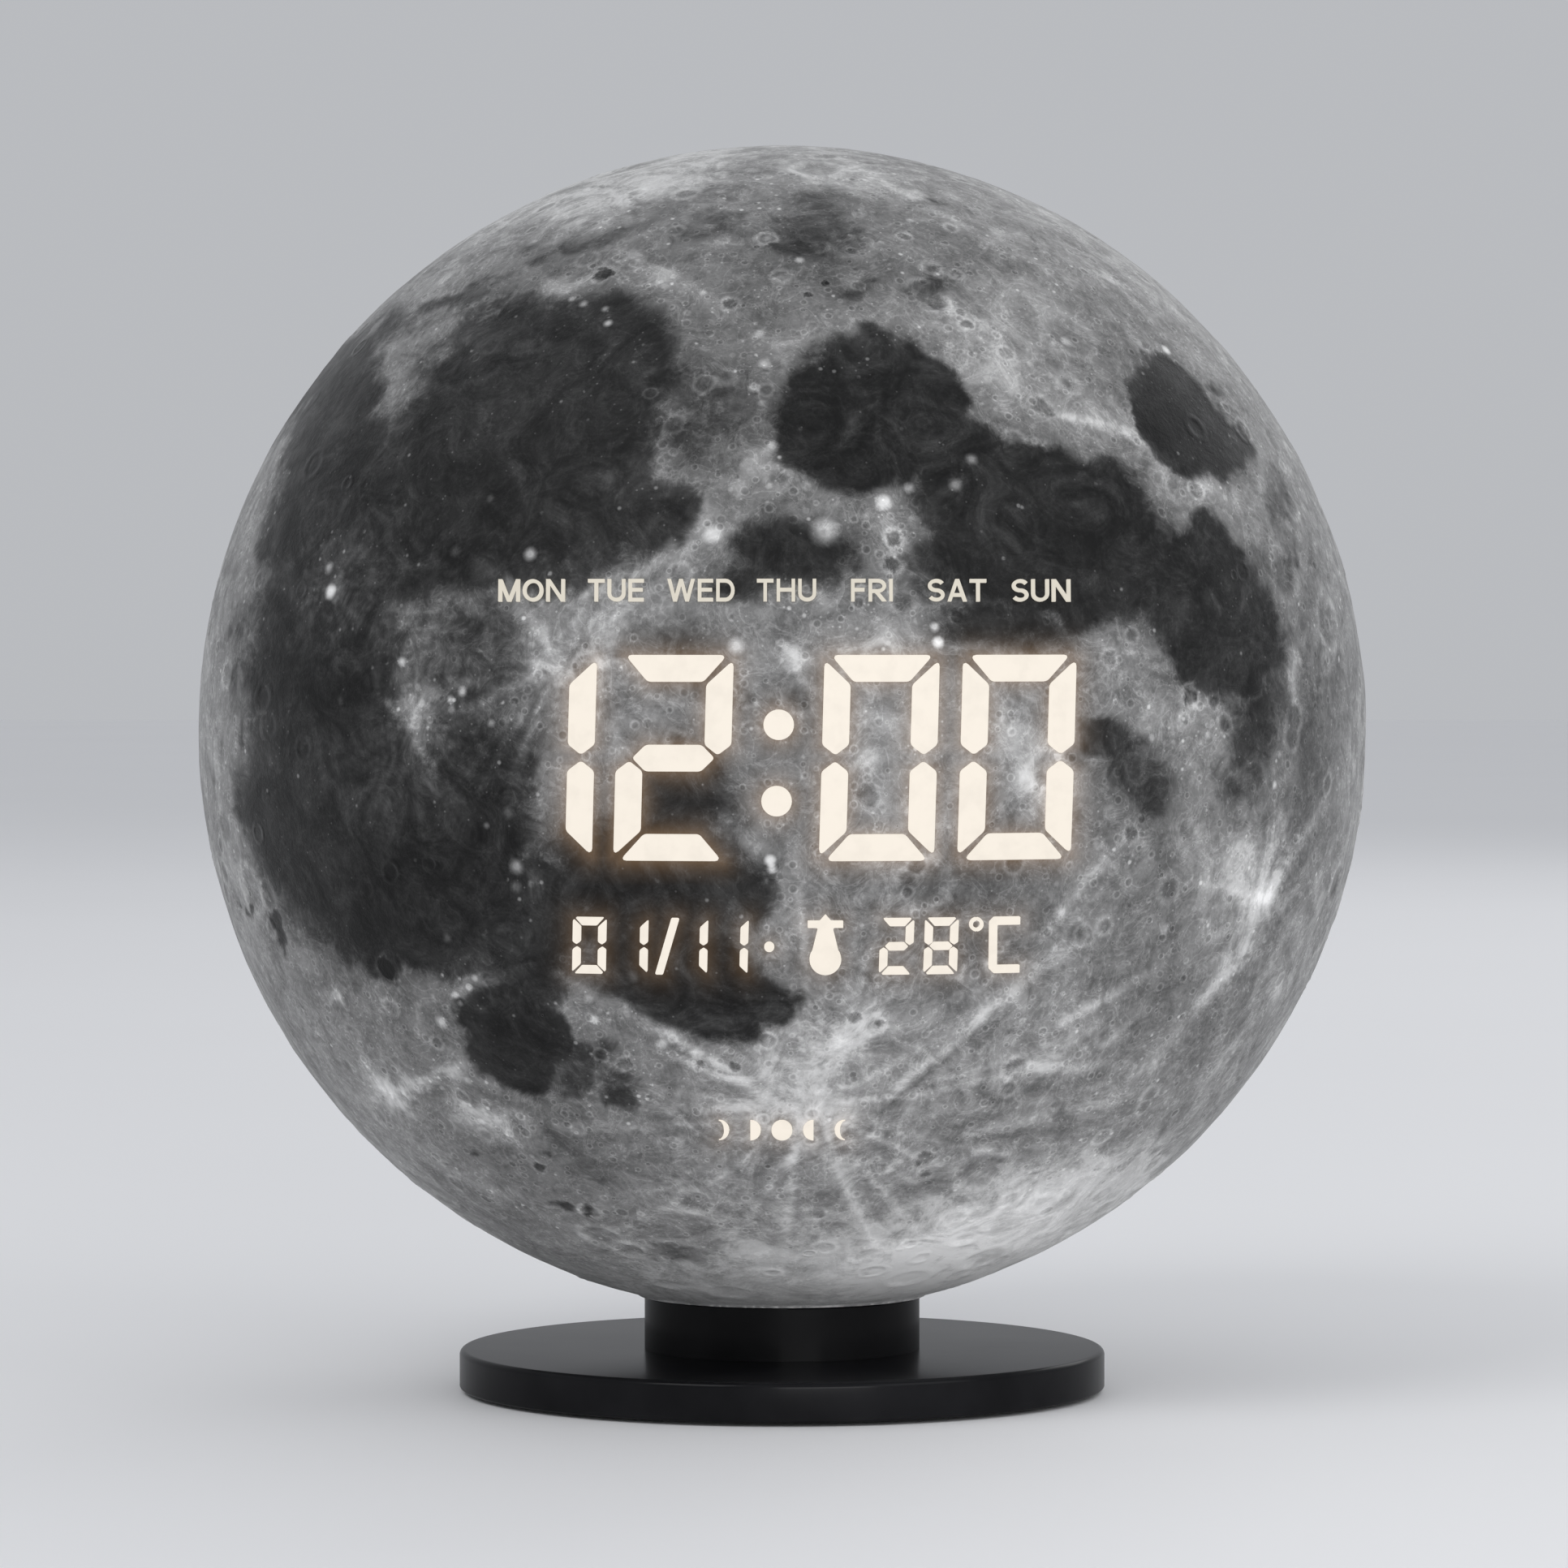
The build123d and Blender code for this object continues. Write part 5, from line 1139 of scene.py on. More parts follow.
        # the lift map holds the moon's brighter areas and also painted light: a highlight along the outline's
        # edge and a brighter bottom edge
        tone = tone + maps["lift"] * uneven * (1 - self.sea_lift_loss * plain)
        for spot in SPOTS:
            tone = tone + self.spot(tree, n, spot)
        for ring in RINGS:
            tone = tone + self.ring(tree, n, ring, rough * self.ring_warp)
        tone = tone - (tone - self.shoulder).math("MAXIMUM", 0.0) * self.shoulder_hold
        seam = tree.vector("DOT_PRODUCT", n, (0.0, 1.0, 0.0), output=1).math("ABSOLUTE")
        tone = tone * (1 - self.seam_shade * seam.step(self.seam_w, self.seam_w / 3))
        darkest, lightest = self.tone_span
        albedo = tone.math("MAXIMUM", darkest).math("MINIMUM", lightest) ** self.eye_power
        tree.fix("Base Color", tree.blend(albedo, BLACK, self.lit_colour))
        least, extra = self.roughness_mix
        tree.fix("Roughness", least + extra * rough)
        tree.fix("Specular IOR Level", self.specular)
        tree.fix("Sheen Weight", self.sheen)
        tree.fix("Sheen Roughness", self.sheen_roughness)
        tree.fix("Emission Color", tree.blend(maps["glow"], BLACK, self.glow_colour))
        tree.fix("Emission Strength", 1.0)
        height = self.mixed((pit_rims[0], pit_floors[0], rough, fine), self.bump_mix)
        tree.fix("Normal", tree.bump(height, self.bump_depth, self.bump_strength))
        return tree.material


# Lit signs

class Sign(Enum):
    """What a seven-segment place shows: the indexes of its lit segments."""

    ZERO = (0, 1, 2, 3, 4, 5)
    ONE = (1, 2)
    TWO = (0, 1, 6, 4, 3)
    EIGHT = (0, 1, 2, 3, 4, 5, 6)


class Phase(Enum):
    """Moon signs by the inner edge of their lit side, as a share of the radius."""

    CRESCENT = -0.5
    HALF = 0.0
    FULL = 1.0


def arc(
    x: float, z: float, half_w: float, half_h: float, start_deg: float, end_deg: float, steps: int
) -> list[Point]:
    """Points along an oval arc.

    Args:
        x: its middle.
        z: its middle.
        half_w: its half width.
        half_h: its half height.
        start_deg: the angle of the first point.
        end_deg: the angle of the last point.
        steps: how many runs it has.

    Returns:
        The points.
    """
    turns = (math.radians(start_deg + (end_deg - start_deg) * i / steps) for i in range(steps + 1))
    return [(x + half_w * math.cos(t), z + half_h * math.sin(t)) for t in turns]


@dataclass(frozen=True)
class DigitStyle:
    """Sizes of a seven-segment digit, in millimetres."""

    width: float
    height: float
    stroke: float
    gap: float
    soften: float
    blunt: float
    inset: float
    lean_deg: float = 1.6

    def segments(self) -> list[list[Point]]:
        """Seven mitred outlines about the digit's middle, from the top one clockwise, the bar last."""
        side, top, half = self.width / 2, self.height / 2, self.stroke / 2
        end = side - self.gap - self.inset
        bar = [(-end, top), (end, top), (side - self.gap - self.stroke, top - self.stroke)]
        bar.append((-side + self.gap + self.stroke, top - self.stroke))
        post = [(side, top - self.gap - self.inset / 2), (side, half), (side - half, self.gap)]
        post += [(side - self.stroke, half), (side - self.stroke, top - self.stroke - self.gap)]
        nook = side - self.stroke - self.gap
        middle = [(-side + half + self.gap, 0), (-nook, half), (nook, half)]
        middle += [(side - half - self.gap, 0), (nook, -half), (-nook, -half)]
        flips = [[(x, -z) for x, z in post], [(x, -z) for x, z in bar]]
        flips += [[(-x, -z) for x, z in post], [(-x, z) for x, z in post]]
        return [bar, post, *flips, middle]

    def draw(self, sign: Sign, x: float, z: float) -> list[list[Point]]:
        """Lit outlines of one digit whose middle is at x, z."""
        slope = math.tan(math.radians(self.lean_deg))
        outlines = self.segments()
        return [[(x + px + pz * slope, z + pz) for px, pz in outlines[i]] for i in sign.value]


LETTER_WIDTHS = {
    "A": 0.86, "D": 0.82, "E": 0.68, "F": 0.64, "H": 0.82, "I": 0.17, "M": 0.97,
    "N": 0.84, "O": 0.93, "R": 0.78, "S": 0.74, "T": 0.74, "U": 0.80, "W": 1.22,
}


@dataclass(frozen=True)
class Lettering:
    """Plain capitals drawn with one even stroke. Sizes are shares of the capital height."""

    stroke: float = 0.155
    space: float = 0.14
    bar: float = 0.52
    low_bar: float = 0.29
    waist: float = 0.69
    u_bend: float = 0.36
    a_inset: float = 0.27
    short_bar: float = 0.93
    w_inset: float = 0.28
    s_arc_deg: Span = (25.0, 270.0)
    mitre: float = 1.35
    steps: int = 10

    def lines(self, letter: str) -> tuple[float, list[list[Point]]]:
        """Middle lines of a letter's strokes.

        Args:
            letter: the capital.

        Returns:
            The letter's width and its lines; a line that ends where it starts is a closed one.
        """
        half = self.stroke / 2
        high = 1 - half
        w = LETTER_WIDTHS[letter]
        left, right, mid = half, w - half, w / 2
        stem, far_stem = [(left, 0), (left, 1)], [(right, 0), (right, 1)]
        start = self.stroke
        if letter == "A":
            bar = [(w * self.a_inset, self.low_bar), (w * (1 - self.a_inset), self.low_bar)]
            return w, [[(half, 0), (mid, 1)], [(mid, 1), (w - half, 0)], bar]
        if letter == "D":
            bowl = arc(mid, 0.5, right - mid, 0.5 - half, 90, -90, self.steps)
            return w, [[(left, half), (left, high), *bowl, (left, half)]]
        if letter in "EF":
            bars = [[(start, high), (w, high)], [(start, self.bar), (w * self.short_bar, self.bar)]]
            return w, [stem, *bars, [(start, half), (w, half)]] if letter == "E" else [stem, *bars]
        if letter == "H":
            return w, [stem, far_stem, [(start, self.bar), (w - start, self.bar)]]
        if letter == "I":
            return w, [stem]
        if letter == "M":
            return w, [stem, [(left, 1), (mid, 0)], [(mid, 0), (right, 1)], far_stem]
        if letter == "N":
            return w, [stem, [(left, 1), (right, 0)], far_stem]
        if letter == "O":
            return w, [arc(mid, 0.5, mid - half, 0.5 - half, 0, 360, 3 * self.steps)]
        if letter == "R":
            bowl = arc(mid, self.waist, right - mid, high - self.waist, 90, -90, self.steps)
            knee = bowl[-1][1]
            return w, [stem, [(start, high), *bowl, (start, knee)], [(mid, knee - half), (right, 0)]]
        if letter == "S":
            bend = (high - 0.5) / 2
            first, last = self.s_arc_deg
            upper = arc(mid, 0.5 + bend, mid - half, bend, first, last, 2 * self.steps)
            lower = arc(mid, 0.5 - bend, mid - half, bend, last - 180, first - 180, 2 * self.steps)
            return w, [upper + lower[1:]]
        if letter == "T":
            return w, [[(0, high), (w, high)], [(mid, 0), (mid, high - half)]]
        if letter == "U":
            bend = arc(mid, self.u_bend, mid - half, self.u_bend - half, 180, 360, self.steps)
            return w, [[(left, 1), *bend, (right, 1)]]
        low = (w * self.w_inset, w * (1 - self.w_inset))
        tops = [(half, 1), (low[0], 0), (mid, 1), (low[1], 0), (w - half, 1)]
        return w, [[a, b] for a, b in zip(tops, tops[1:])]

    def sides(self, line: list[Point]) -> tuple[list[Vector], list[Vector]]:
        """Both edges of a stroke: mitred at its corners, or cut level where it slants from end to end.

        Args:
            line: the stroke's middle line.

        Returns:
            The points on its left and on its right.
        """
        points = [Vector(p) for p in line]
        run = points[-1] - points[0]
        if len(points) == 2 and abs(run.y) > abs(run.x) / 2:
            out = Vector((self.stroke / 2 * run.length / abs(run.y), 0))
            return [p - out for p in points], [p + out for p in points]
        closed = (points[0] - points[-1]).length < WELD
        edges = ([], [])
        for index, point in enumerate(points):
            before = points[index - 1] if index else points[-2] if closed else None
            after = points[index + 1] if index + 1 < len(points) else points[1] if closed else None
            ways = [(b - a).normalized() for a, b in ((before, point), (point, after)) if a and b]
            out = sum(((Vector((-w.y, w.x))) for w in ways), Vector((0, 0))).normalized()
            reach = min(self.mitre, 1 / max(abs(out.dot(Vector((-ways[0].y, ways[0].x)))), WELD))
            for edge, sign in zip(edges, (1, -1)):
                edge.append(point + out * (sign * reach * self.stroke / 2))
        return edges

    def write(self, flat: bmesh.types.BMesh, word: str, x: float, z: float, cap_h: float) -> None:
        """Add the faces of a word whose middle is at x, z.

        Args:
            flat: where the faces go, in the plane of x and z.
            word: the word.
            x: its middle.
            z: its middle.
            cap_h: the height of its capitals.
        """
        total = sum(self.lines(letter)[0] for letter in word) + self.space * (len(word) - 1)
        cursor = -total / 2
        for letter in word:
            width, lines = self.lines(letter)
            for line in lines:
                rows = [
                    [flat.verts.new((x + (cursor + p.x) * cap_h, 0, z + (p.y - 0.5) * cap_h)) for p in edge]
                    for edge in self.sides(line)
                ]
                for i in range(len(line) - 1):
                    flat.faces.new((rows[0][i], rows[0][i + 1], rows[1][i + 1], rows[1][i]))
            cursor += width + self.space


@dataclass
class LightSigns:
    """The lit signs on the globe's front. Sizes are millimetres about the globe's centre."""

    globe: MoonGlobe
    time_style: DigitStyle = DigitStyle(13.6, 24.3, 3.15, 0.36, 0.35, 0.8, 0.4)
    small_style: DigitStyle = DigitStyle(4.0, 6.8, 0.96, 0.15, 0.12, 0.25, 0.1)
    lettering: Lettering = Lettering()
    time_z: float = -2.2
    time_xs: tuple[float, float, float, float] = (-29.0, -12.8, 11.5, 27.9)
    colon_x: float = -0.5
    colon_z: float = -2.75
    colon_r: float = 1.8
    colon_pitch: float = 9.0
    small_z: float = -24.6
    date_xs: tuple[float, float, float, float] = (-22.9, -17.9, -10.8, -6.0)
    slash_x: float = -13.6
    dot_x: float = -1.5
    dot_r: float = 0.6
    temperature_xs: tuple[float, float] = (13.6, 18.9)
    degree_x: float = 23.1
    degree_r: float = 0.85
    degree_stroke: float = 0.42
    unit_x: float = 26.5
    unit_w: float = 3.7
    unit_cut: float = 0.55
    icon_x: float = 5.15
    icon_h: float = 7.3
    bulb_r: float = 1.88
    neck_half_w: float = 0.88
    arm_half_w: float = 2.1
    arm_h: float = 0.85
    arm_drop: float = 1.9
    peak_half_w: float = 0.65
    bulb_arc_deg: Span = (35.0, -215.0)
    weekday_z: float = 17.6
    weekday_mid_x: float = 0.55
    weekday_pitch: float = 10.1
    cap_h: float = 2.65
    phase_z: float = -47.3
    phase_r: float = 1.25
    phase_pitch: float = 3.8
    patch_t: float = 0.25
    sunk: float = 0.01
    grid: float = 1.6
    cover_span: Span = (-1.2, -0.2)
    halo: float = 1.2
    halo_power: float = 1.2
    small_share: float = 0.5
    small_top: float = -17.0
    field_half_w: float = 40.0
    field_span: Span = (-52.0, 24.0)
    far_away: float = 99.0
    front_share: float = 0.4
    bulb_steps: int = 24
    ring_steps: int = 14
    phase_steps: int = 16
    corner_steps: int = 3
    blunt_turn_deg: float = 25.0
    sharp_turn_deg: float = 100.0
    weld: float = 1e-4

    def time_outlines(self) -> dict[str, list[list[Point]]]:
        """Outlines of the time row, by piece."""
        names = ("hour_tens_light", "hour_units_light", "minute_tens_light", "minute_units_light")
        signs = (Sign.ONE, Sign.TWO, Sign.ZERO, Sign.ZERO)
        places = zip(names, signs, self.time_xs)
        rows = {name: self.time_style.draw(sign, x, self.time_z) for name, sign, x in places}
        up = self.colon_pitch / 2
        slope = math.tan(math.radians(self.time_style.lean_deg)) * up
        ends = ((slope, up), (-slope, -up))
        rows["colon_light"] = [self.circle(self.colon_x + x, self.colon_z + z, self.colon_r) for x, z in ends]
        return rows

    @staticmethod
    def circle(x: float, z: float, radius: float, sides: int = 32) -> list[Point]:
        """Round outline."""
        return arc(x, z, radius, radius, 0, 360, sides)[:-1]

    def date_outlines(self) -> list[list[Point]]:
        """Outlines of day and month."""
        style = self.small_style
        signs = (Sign.ZERO, Sign.ONE, Sign.ONE, Sign.ONE)
        outlines = [o for sign, x in zip(signs, self.date_xs) for o in style.draw(sign, x, self.small_z)]
        run, half_h, half_w = style.width / 4, style.height / 2, style.stroke / 2
        slash = [(-run - half_w, -half_h), (half_w - run, -half_h)]
        slash += [(run + half_w, half_h), (run - half_w, half_h)]
        outlines.append([(self.slash_x + x, self.small_z + z) for x, z in slash])
        outlines.append(self.circle(self.dot_x, self.small_z, self.dot_r))
        return outlines

    def thermometer(self) -> list[Point]:
        """Outline of the thermometer: a bulb, a stem that narrows, two arms and a peak."""
        foot = self.small_z - self.small_style.height / 2
        bulb = arc(0, foot + self.bulb_r, self.bulb_r, self.bulb_r, *self.bulb_arc_deg, self.bulb_steps)
        arm_z = foot + self.icon_h - self.arm_h * self.arm_drop
        left = [(-self.neck_half_w, arm_z), (-self.arm_half_w, arm_z), (-self.arm_half_w, arm_z + self.arm_h)]
        left.append((-self.peak_half_w, arm_z + self.arm_h))
        right = [(-x, z) for x, z in reversed(left)]
        return [(self.icon_x + x, z) for x, z in [*bulb, *left, (0, foot + self.icon_h), *right]]

    def temperature_outlines(self) -> list[list[Point]]:
        """Outlines of the thermometer, the temperature and its unit."""
        style = self.small_style
        signs = zip((Sign.TWO, Sign.EIGHT), self.temperature_xs)
        outlines = [o for sign, x in signs for o in style.draw(sign, x, self.small_z)]
        outlines.append(self.thermometer())
        side, half_h = self.unit_w / 2, style.height / 2
        inner = half_h - style.stroke
        cut = self.unit_cut
        unit = [(side, half_h), (cut - side, half_h), (-side, half_h - cut), (-side, cut - half_h)]
        unit += [(cut - side, -half_h), (side, -half_h), (side, -inner)]
        unit += [(-side + style.stroke, -inner), (-side + style.stroke, inner), (side, inner)]
        outlines.append([(self.unit_x + x, self.small_z + z) for x, z in unit])
        ring_z = self.small_z + half_h - self.degree_r
        hole = self.degree_r - self.degree_stroke
        for start in (-90, 90):
            end, steps = start + 180, self.ring_steps
            outer = arc(self.degree_x, ring_z, self.degree_r, self.degree_r, start, end, steps)
            outlines.append(outer + arc(self.degree_x, ring_z, hole, hole, end, start, steps))
        return outlines

    def phase_outlines(self) -> list[list[Point]]:
        """Five moon signs in a row."""
        outlines = []
        for index, phase in enumerate((Phase.CRESCENT, Phase.HALF, Phase.FULL, Phase.HALF, Phase.CRESCENT)):
            x = (index - 2) * self.phase_pitch
            side = -1 if index > 2 else 1
            outer = arc(0, 0, self.phase_r, self.phase_r, 90, -90, self.phase_steps)
            inner = arc(0, 0, -self.phase_r * phase.value, self.phase_r, -90, 90, self.phase_steps)[1:-1]
            outlines.append([(x + side * px, self.phase_z + pz) for px, pz in outer + inner])
        return outlines

    def all_outlines(self) -> dict[str, list[list[Point]]]:
        """Every lit outline but the weekday names, by piece."""
        rows = self.time_outlines()
        rows["date_light"] = self.date_outlines()
        rows["temperature_light"] = self.temperature_outlines()
        rows["phase_light"] = self.phase_outlines()
        return rows

    def distance(self, co: np.ndarray) -> np.ndarray:
        """Distance in millimetres from each point to the nearest lit outline, on the front."""
        x = co[:, 0] / MM
        z = co[:, 2] / MM
        low, high = self.field_span
        front = co[:, 1] < -self.front_share * self.globe.outer_r
        near = front & (np.abs(x) < self.field_half_w) & (z > low) & (z < high)
        best = np.full(len(co), self.far_away)
        found = np.full(near.sum(), self.far_away)
        for outline in (o for row in self.all_outlines().values() for o in row):
            found = np.minimum(found, self.outline_distance(x[near], z[near], outline))
        best[near] = found
        return best

    @staticmethod
    def outline_distance(px: np.ndarray, pz: np.ndarray, outline: list[Point]) -> np.ndarray:
        """Distance to an outline; zero inside it."""
        inside = np.zeros(len(px), dtype=bool)
        best = np.full(len(px), math.inf)
        for (x0, z0), (x1, z1) in zip(outline, outline[1:] + outline[:1]):
            dx, dz = x1 - x0, z1 - z0
            share = np.clip(((px - x0) * dx + (pz - z0) * dz) / (dx * dx + dz * dz + 1e-12), 0, 1)
            best = np.minimum(best, np.hypot(px - x0 - share * dx, pz - z0 - share * dz))
            if z0 != z1:
                crosses = (z0 > pz) != (z1 > pz)
                inside ^= crosses & (px < (x1 - x0) * (pz - z0) / (z1 - z0) + x0)
        return np.where(inside, 0.0, best)

    def cover(self, co: np.ndarray) -> np.ndarray:
        """How far a point lies under a lit sign, from 0 to 1."""
        return ease(-self.distance(co), *self.cover_span)

    def glow(self, co: np.ndarray) -> np.ndarray:
        """Warm glow round the lit signs."""
        share = np.where(co[:, 2] < self.small_top * MM, self.small_share, 1.0)
        return np.exp(-((self.distance(co) / self.halo) ** self.halo_power)) * share

    def on_globe(self, name: str, flat: bmesh.types.BMesh, material: bpy.types.Material) -> bpy.types.Object:
        """Lay flat outlines on the globe and give them a thickness.

        Args:
            name: the piece's name.
            flat: faces in the plane of x and z, in millimetres about the globe's centre.
            material: the lit finish.

        Returns:
            The piece.
        """
        for axis in (Vector((1, 0, 0)), Vector((0, 0, 1))):
            values = [v.co.dot(axis) for v in flat.verts]
            for step in range(1, int((max(values) - min(values)) / self.grid) + 1):
                point = axis * (min(values) + step * self.grid)
                geom = flat.verts[:] + flat.edges[:] + flat.faces[:]
                bmesh.ops.bisect_plane(flat, geom=geom, dist=self.weld, plane_co=point, plane_no=axis)
        outer_r = self.globe.outer_r - self.sunk * MM
        for vert in flat.verts:
            x, z = vert.co.x * MM, vert.co.z * MM
            vert.co = Vector((x, -math.sqrt(outer_r**2 - x * x - z * z), z))
        front = flat.verts[:]
        made = bmesh.ops.extrude_face_region(flat, geom=flat.faces[:], use_keep_orig=True)["geom"]
        back = [g for g in made if isinstance(g, bmesh.types.BMVert)]
        shrink = 1 - self.patch_t * MM / outer_r
        bmesh.ops.scale(flat, verts=back, vec=(shrink, shrink, shrink))
        bmesh.ops.recalc_face_normals(flat, faces=flat.faces[:])
        bmesh.ops.translate(flat, verts=flat.verts[:], vec=self.globe.centre)
        log.info("%s: %d points on its face", name, len(front))
        piece = Workshop.piece(name, flat, material, smooth=False)
        return piece

    def flat_faces(self, outlines: Iterable[list[Point]], style: DigitStyle | None) -> bmesh.types.BMesh:
        """Flat faces of some outlines.

        Args:
            outlines: the outlines.
            style: says how far their sharp and their blunt corners are rounded, if they are.

        Returns:
            The faces, in the plane of x and z.
        """
        flat = bmesh.new()
        for outline in outlines:
            flat.faces.new([flat.verts.new((x, 0, z)) for x, z in outline])
        turns = {v: self.turn(v) for v in flat.verts}
        least, most = math.radians(self.blunt_turn_deg), math.radians(self.sharp_turn_deg)
        sharp = [v for v, turn in turns.items() if turn > most]
        rest = [v for v, turn in turns.items() if least < turn <= most]
        for corners, offset in ((rest, style.soften), (sharp, style.blunt)) if style else ():
            bmesh.ops.bevel(
                flat, geom=corners, offset=offset, segments=self.corner_steps, profile=0.5,
                affect="VERTICES", material=-1, clamp_overlap=True,
            )
        return flat

    @staticmethod
    def turn(vert: bmesh.types.BMVert) -> float:
        """How much the outline turns at a point."""
        first, second = ((e.other_vert(vert).co - vert.co) for e in vert.link_edges)
        return math.pi - first.angle(second)

    def build(self, material: bpy.types.Material, faint: bpy.types.Material) -> None:
        """Make every lit sign and let it ride on the clock.

        Args:
            material: the finish of the lit signs.
            faint: the finish of the weekday names.
        """
        for name, outlines in self.all_outlines().items():
            style = self.time_style if name in self.time_outlines() else self.small_style
            round_signs = name in ("colon_light", "phase_light")
            self.on_globe(name, self.flat_faces(outlines, None if round_signs else style), material)
        names = bmesh.new()
        for index, word in enumerate(("MON", "TUE", "WED", "THU", "FRI", "SAT", "SUN")):
            x = self.weekday_mid_x + (index - 3) * self.weekday_pitch
            self.lettering.write(names, word, x, self.weekday_z, self.cap_h)
        self.on_globe("weekday_light", names, faint)


# Making pieces

def add_object(name: str, data: bpy.types.ID) -> bpy.types.Object:
    """Add an object to the scene."""
    item = bpy.data.objects.new(name, data)
    bpy.context.scene.collection.objects.link(item)
    return item


class Workshop:
    """Helpers that turn meshes into riding pieces."""

    crease_deg: float = 40.0

    @staticmethod
    def mesh(
        name: str, work: bmesh.types.BMesh, material: bpy.types.Material, smooth: bool
    ) -> bpy.types.Mesh:
        """Turn a bmesh, which is freed, into a mesh with its finish."""
        mesh = bpy.data.meshes.new(name)
        work.to_mesh(mesh)
        work.free()
        mesh.polygons.foreach_set("use_smooth", [smooth] * len(mesh.polygons))
        mesh.materials.append(material)
        return mesh

    @staticmethod
    def sharpen(mesh: bpy.types.Mesh, angle_deg: float) -> int:
        """Mark the edges that bend more than an angle as sharp.

        Args:
            mesh: the mesh.
            angle_deg: the angle.

        Returns:
            How many edges are sharp.
        """
        work = bmesh.new()
        work.from_mesh(mesh)
        limit = math.radians(angle_deg)
        count = 0
        for edge in work.edges:
            sharp = edge.calc_face_angle(0.0) > limit
            edge.smooth = not sharp
            count += sharp
        work.to_mesh(mesh)
        work.free()
        return count

    @classmethod
    def piece(
        cls, name: str, work: bmesh.types.BMesh, material: bpy.types.Material, smooth: bool = True,
        body: str = BODY,
    ) -> bpy.types.Object:
        """Turn a mesh into a piece that rides on a body.

        Args:
            name: the piece's name.
            work: its mesh, in metres in the frame; it is freed.
            material: its finish.
            smooth: whether it is shaded smooth between its sharp edges.
            body: the body that it moves with.

        Returns:
            The piece.
        """
        mesh = cls.mesh(name, work, material, smooth)
        if smooth:
            cls.sharpen(mesh, cls.crease_deg)
        piece = add_object(name, mesh)
        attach(piece, body)
        log.info("%s rides on %s", name, body)
        return piece


@dataclass
class BasePlate:
    """The round plate that the clock stands on, with softly rounded edges."""

    top_round: float = 0.75 * MM
    foot_round: float = 0.35 * MM
    recess_gap: float = 0.2 * MM
    bore_r: float = 15.5 * MM
    steps: int = 192
    edge_steps: int = 8

    def build(self, material: bpy.types.Material) -> bpy.types.Object:
        """Spin the plate from its profile.

        Args:
            material: its finish.

        Returns:
            The piece, which stands for the CAD plate.
        """
        low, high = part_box("base_disc")
        cover_low, cover_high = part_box("base_cover")
        foot = low[2]
        plinth_low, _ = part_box("collar")
        top, outer = plinth_low[2], high[0]
        recess = cover_high[0] + self.recess_gap
        ceiling = cover_high[2] + self.recess_gap
        edge, toe = self.top_round, self.foot_round
        profile = [(self.bore_r, ceiling), (self.bore_r, top)]
        profile += arc(outer - edge, top - edge, edge, edge, 90, 0, self.edge_steps)
        profile += arc(outer - toe, foot + toe, toe, toe, 0, -90, self.edge_steps)
        profile += [(recess, foot), (recess, ceiling)]
        work = bmesh.new()
        verts = [work.verts.new((r, 0, z)) for r, z in profile]
        edges = [work.edges.new(pair) for pair in zip(verts, verts[1:] + verts[:1])]
        bmesh.ops.spin(
            work, geom=verts + edges, cent=(0, 0, 0), axis=(0, 0, 1), angle=2 * math.pi, steps=self.steps,
            use_merge=True, use_duplicate=False,
        )
        bmesh.ops.remove_doubles(work, verts=work.verts[:], dist=WELD)
        bmesh.ops.recalc_face_normals(work, faces=work.faces[:])
        piece = Workshop.piece("base_plate", work, material)
        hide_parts("base_disc")
        return piece


@dataclass(frozen=True)
class Lamp:
    """A soft square lamp that looks at the globe, in metres and watts."""

    name: str
    place: tuple[float, float, float]
    size: float
    power: float


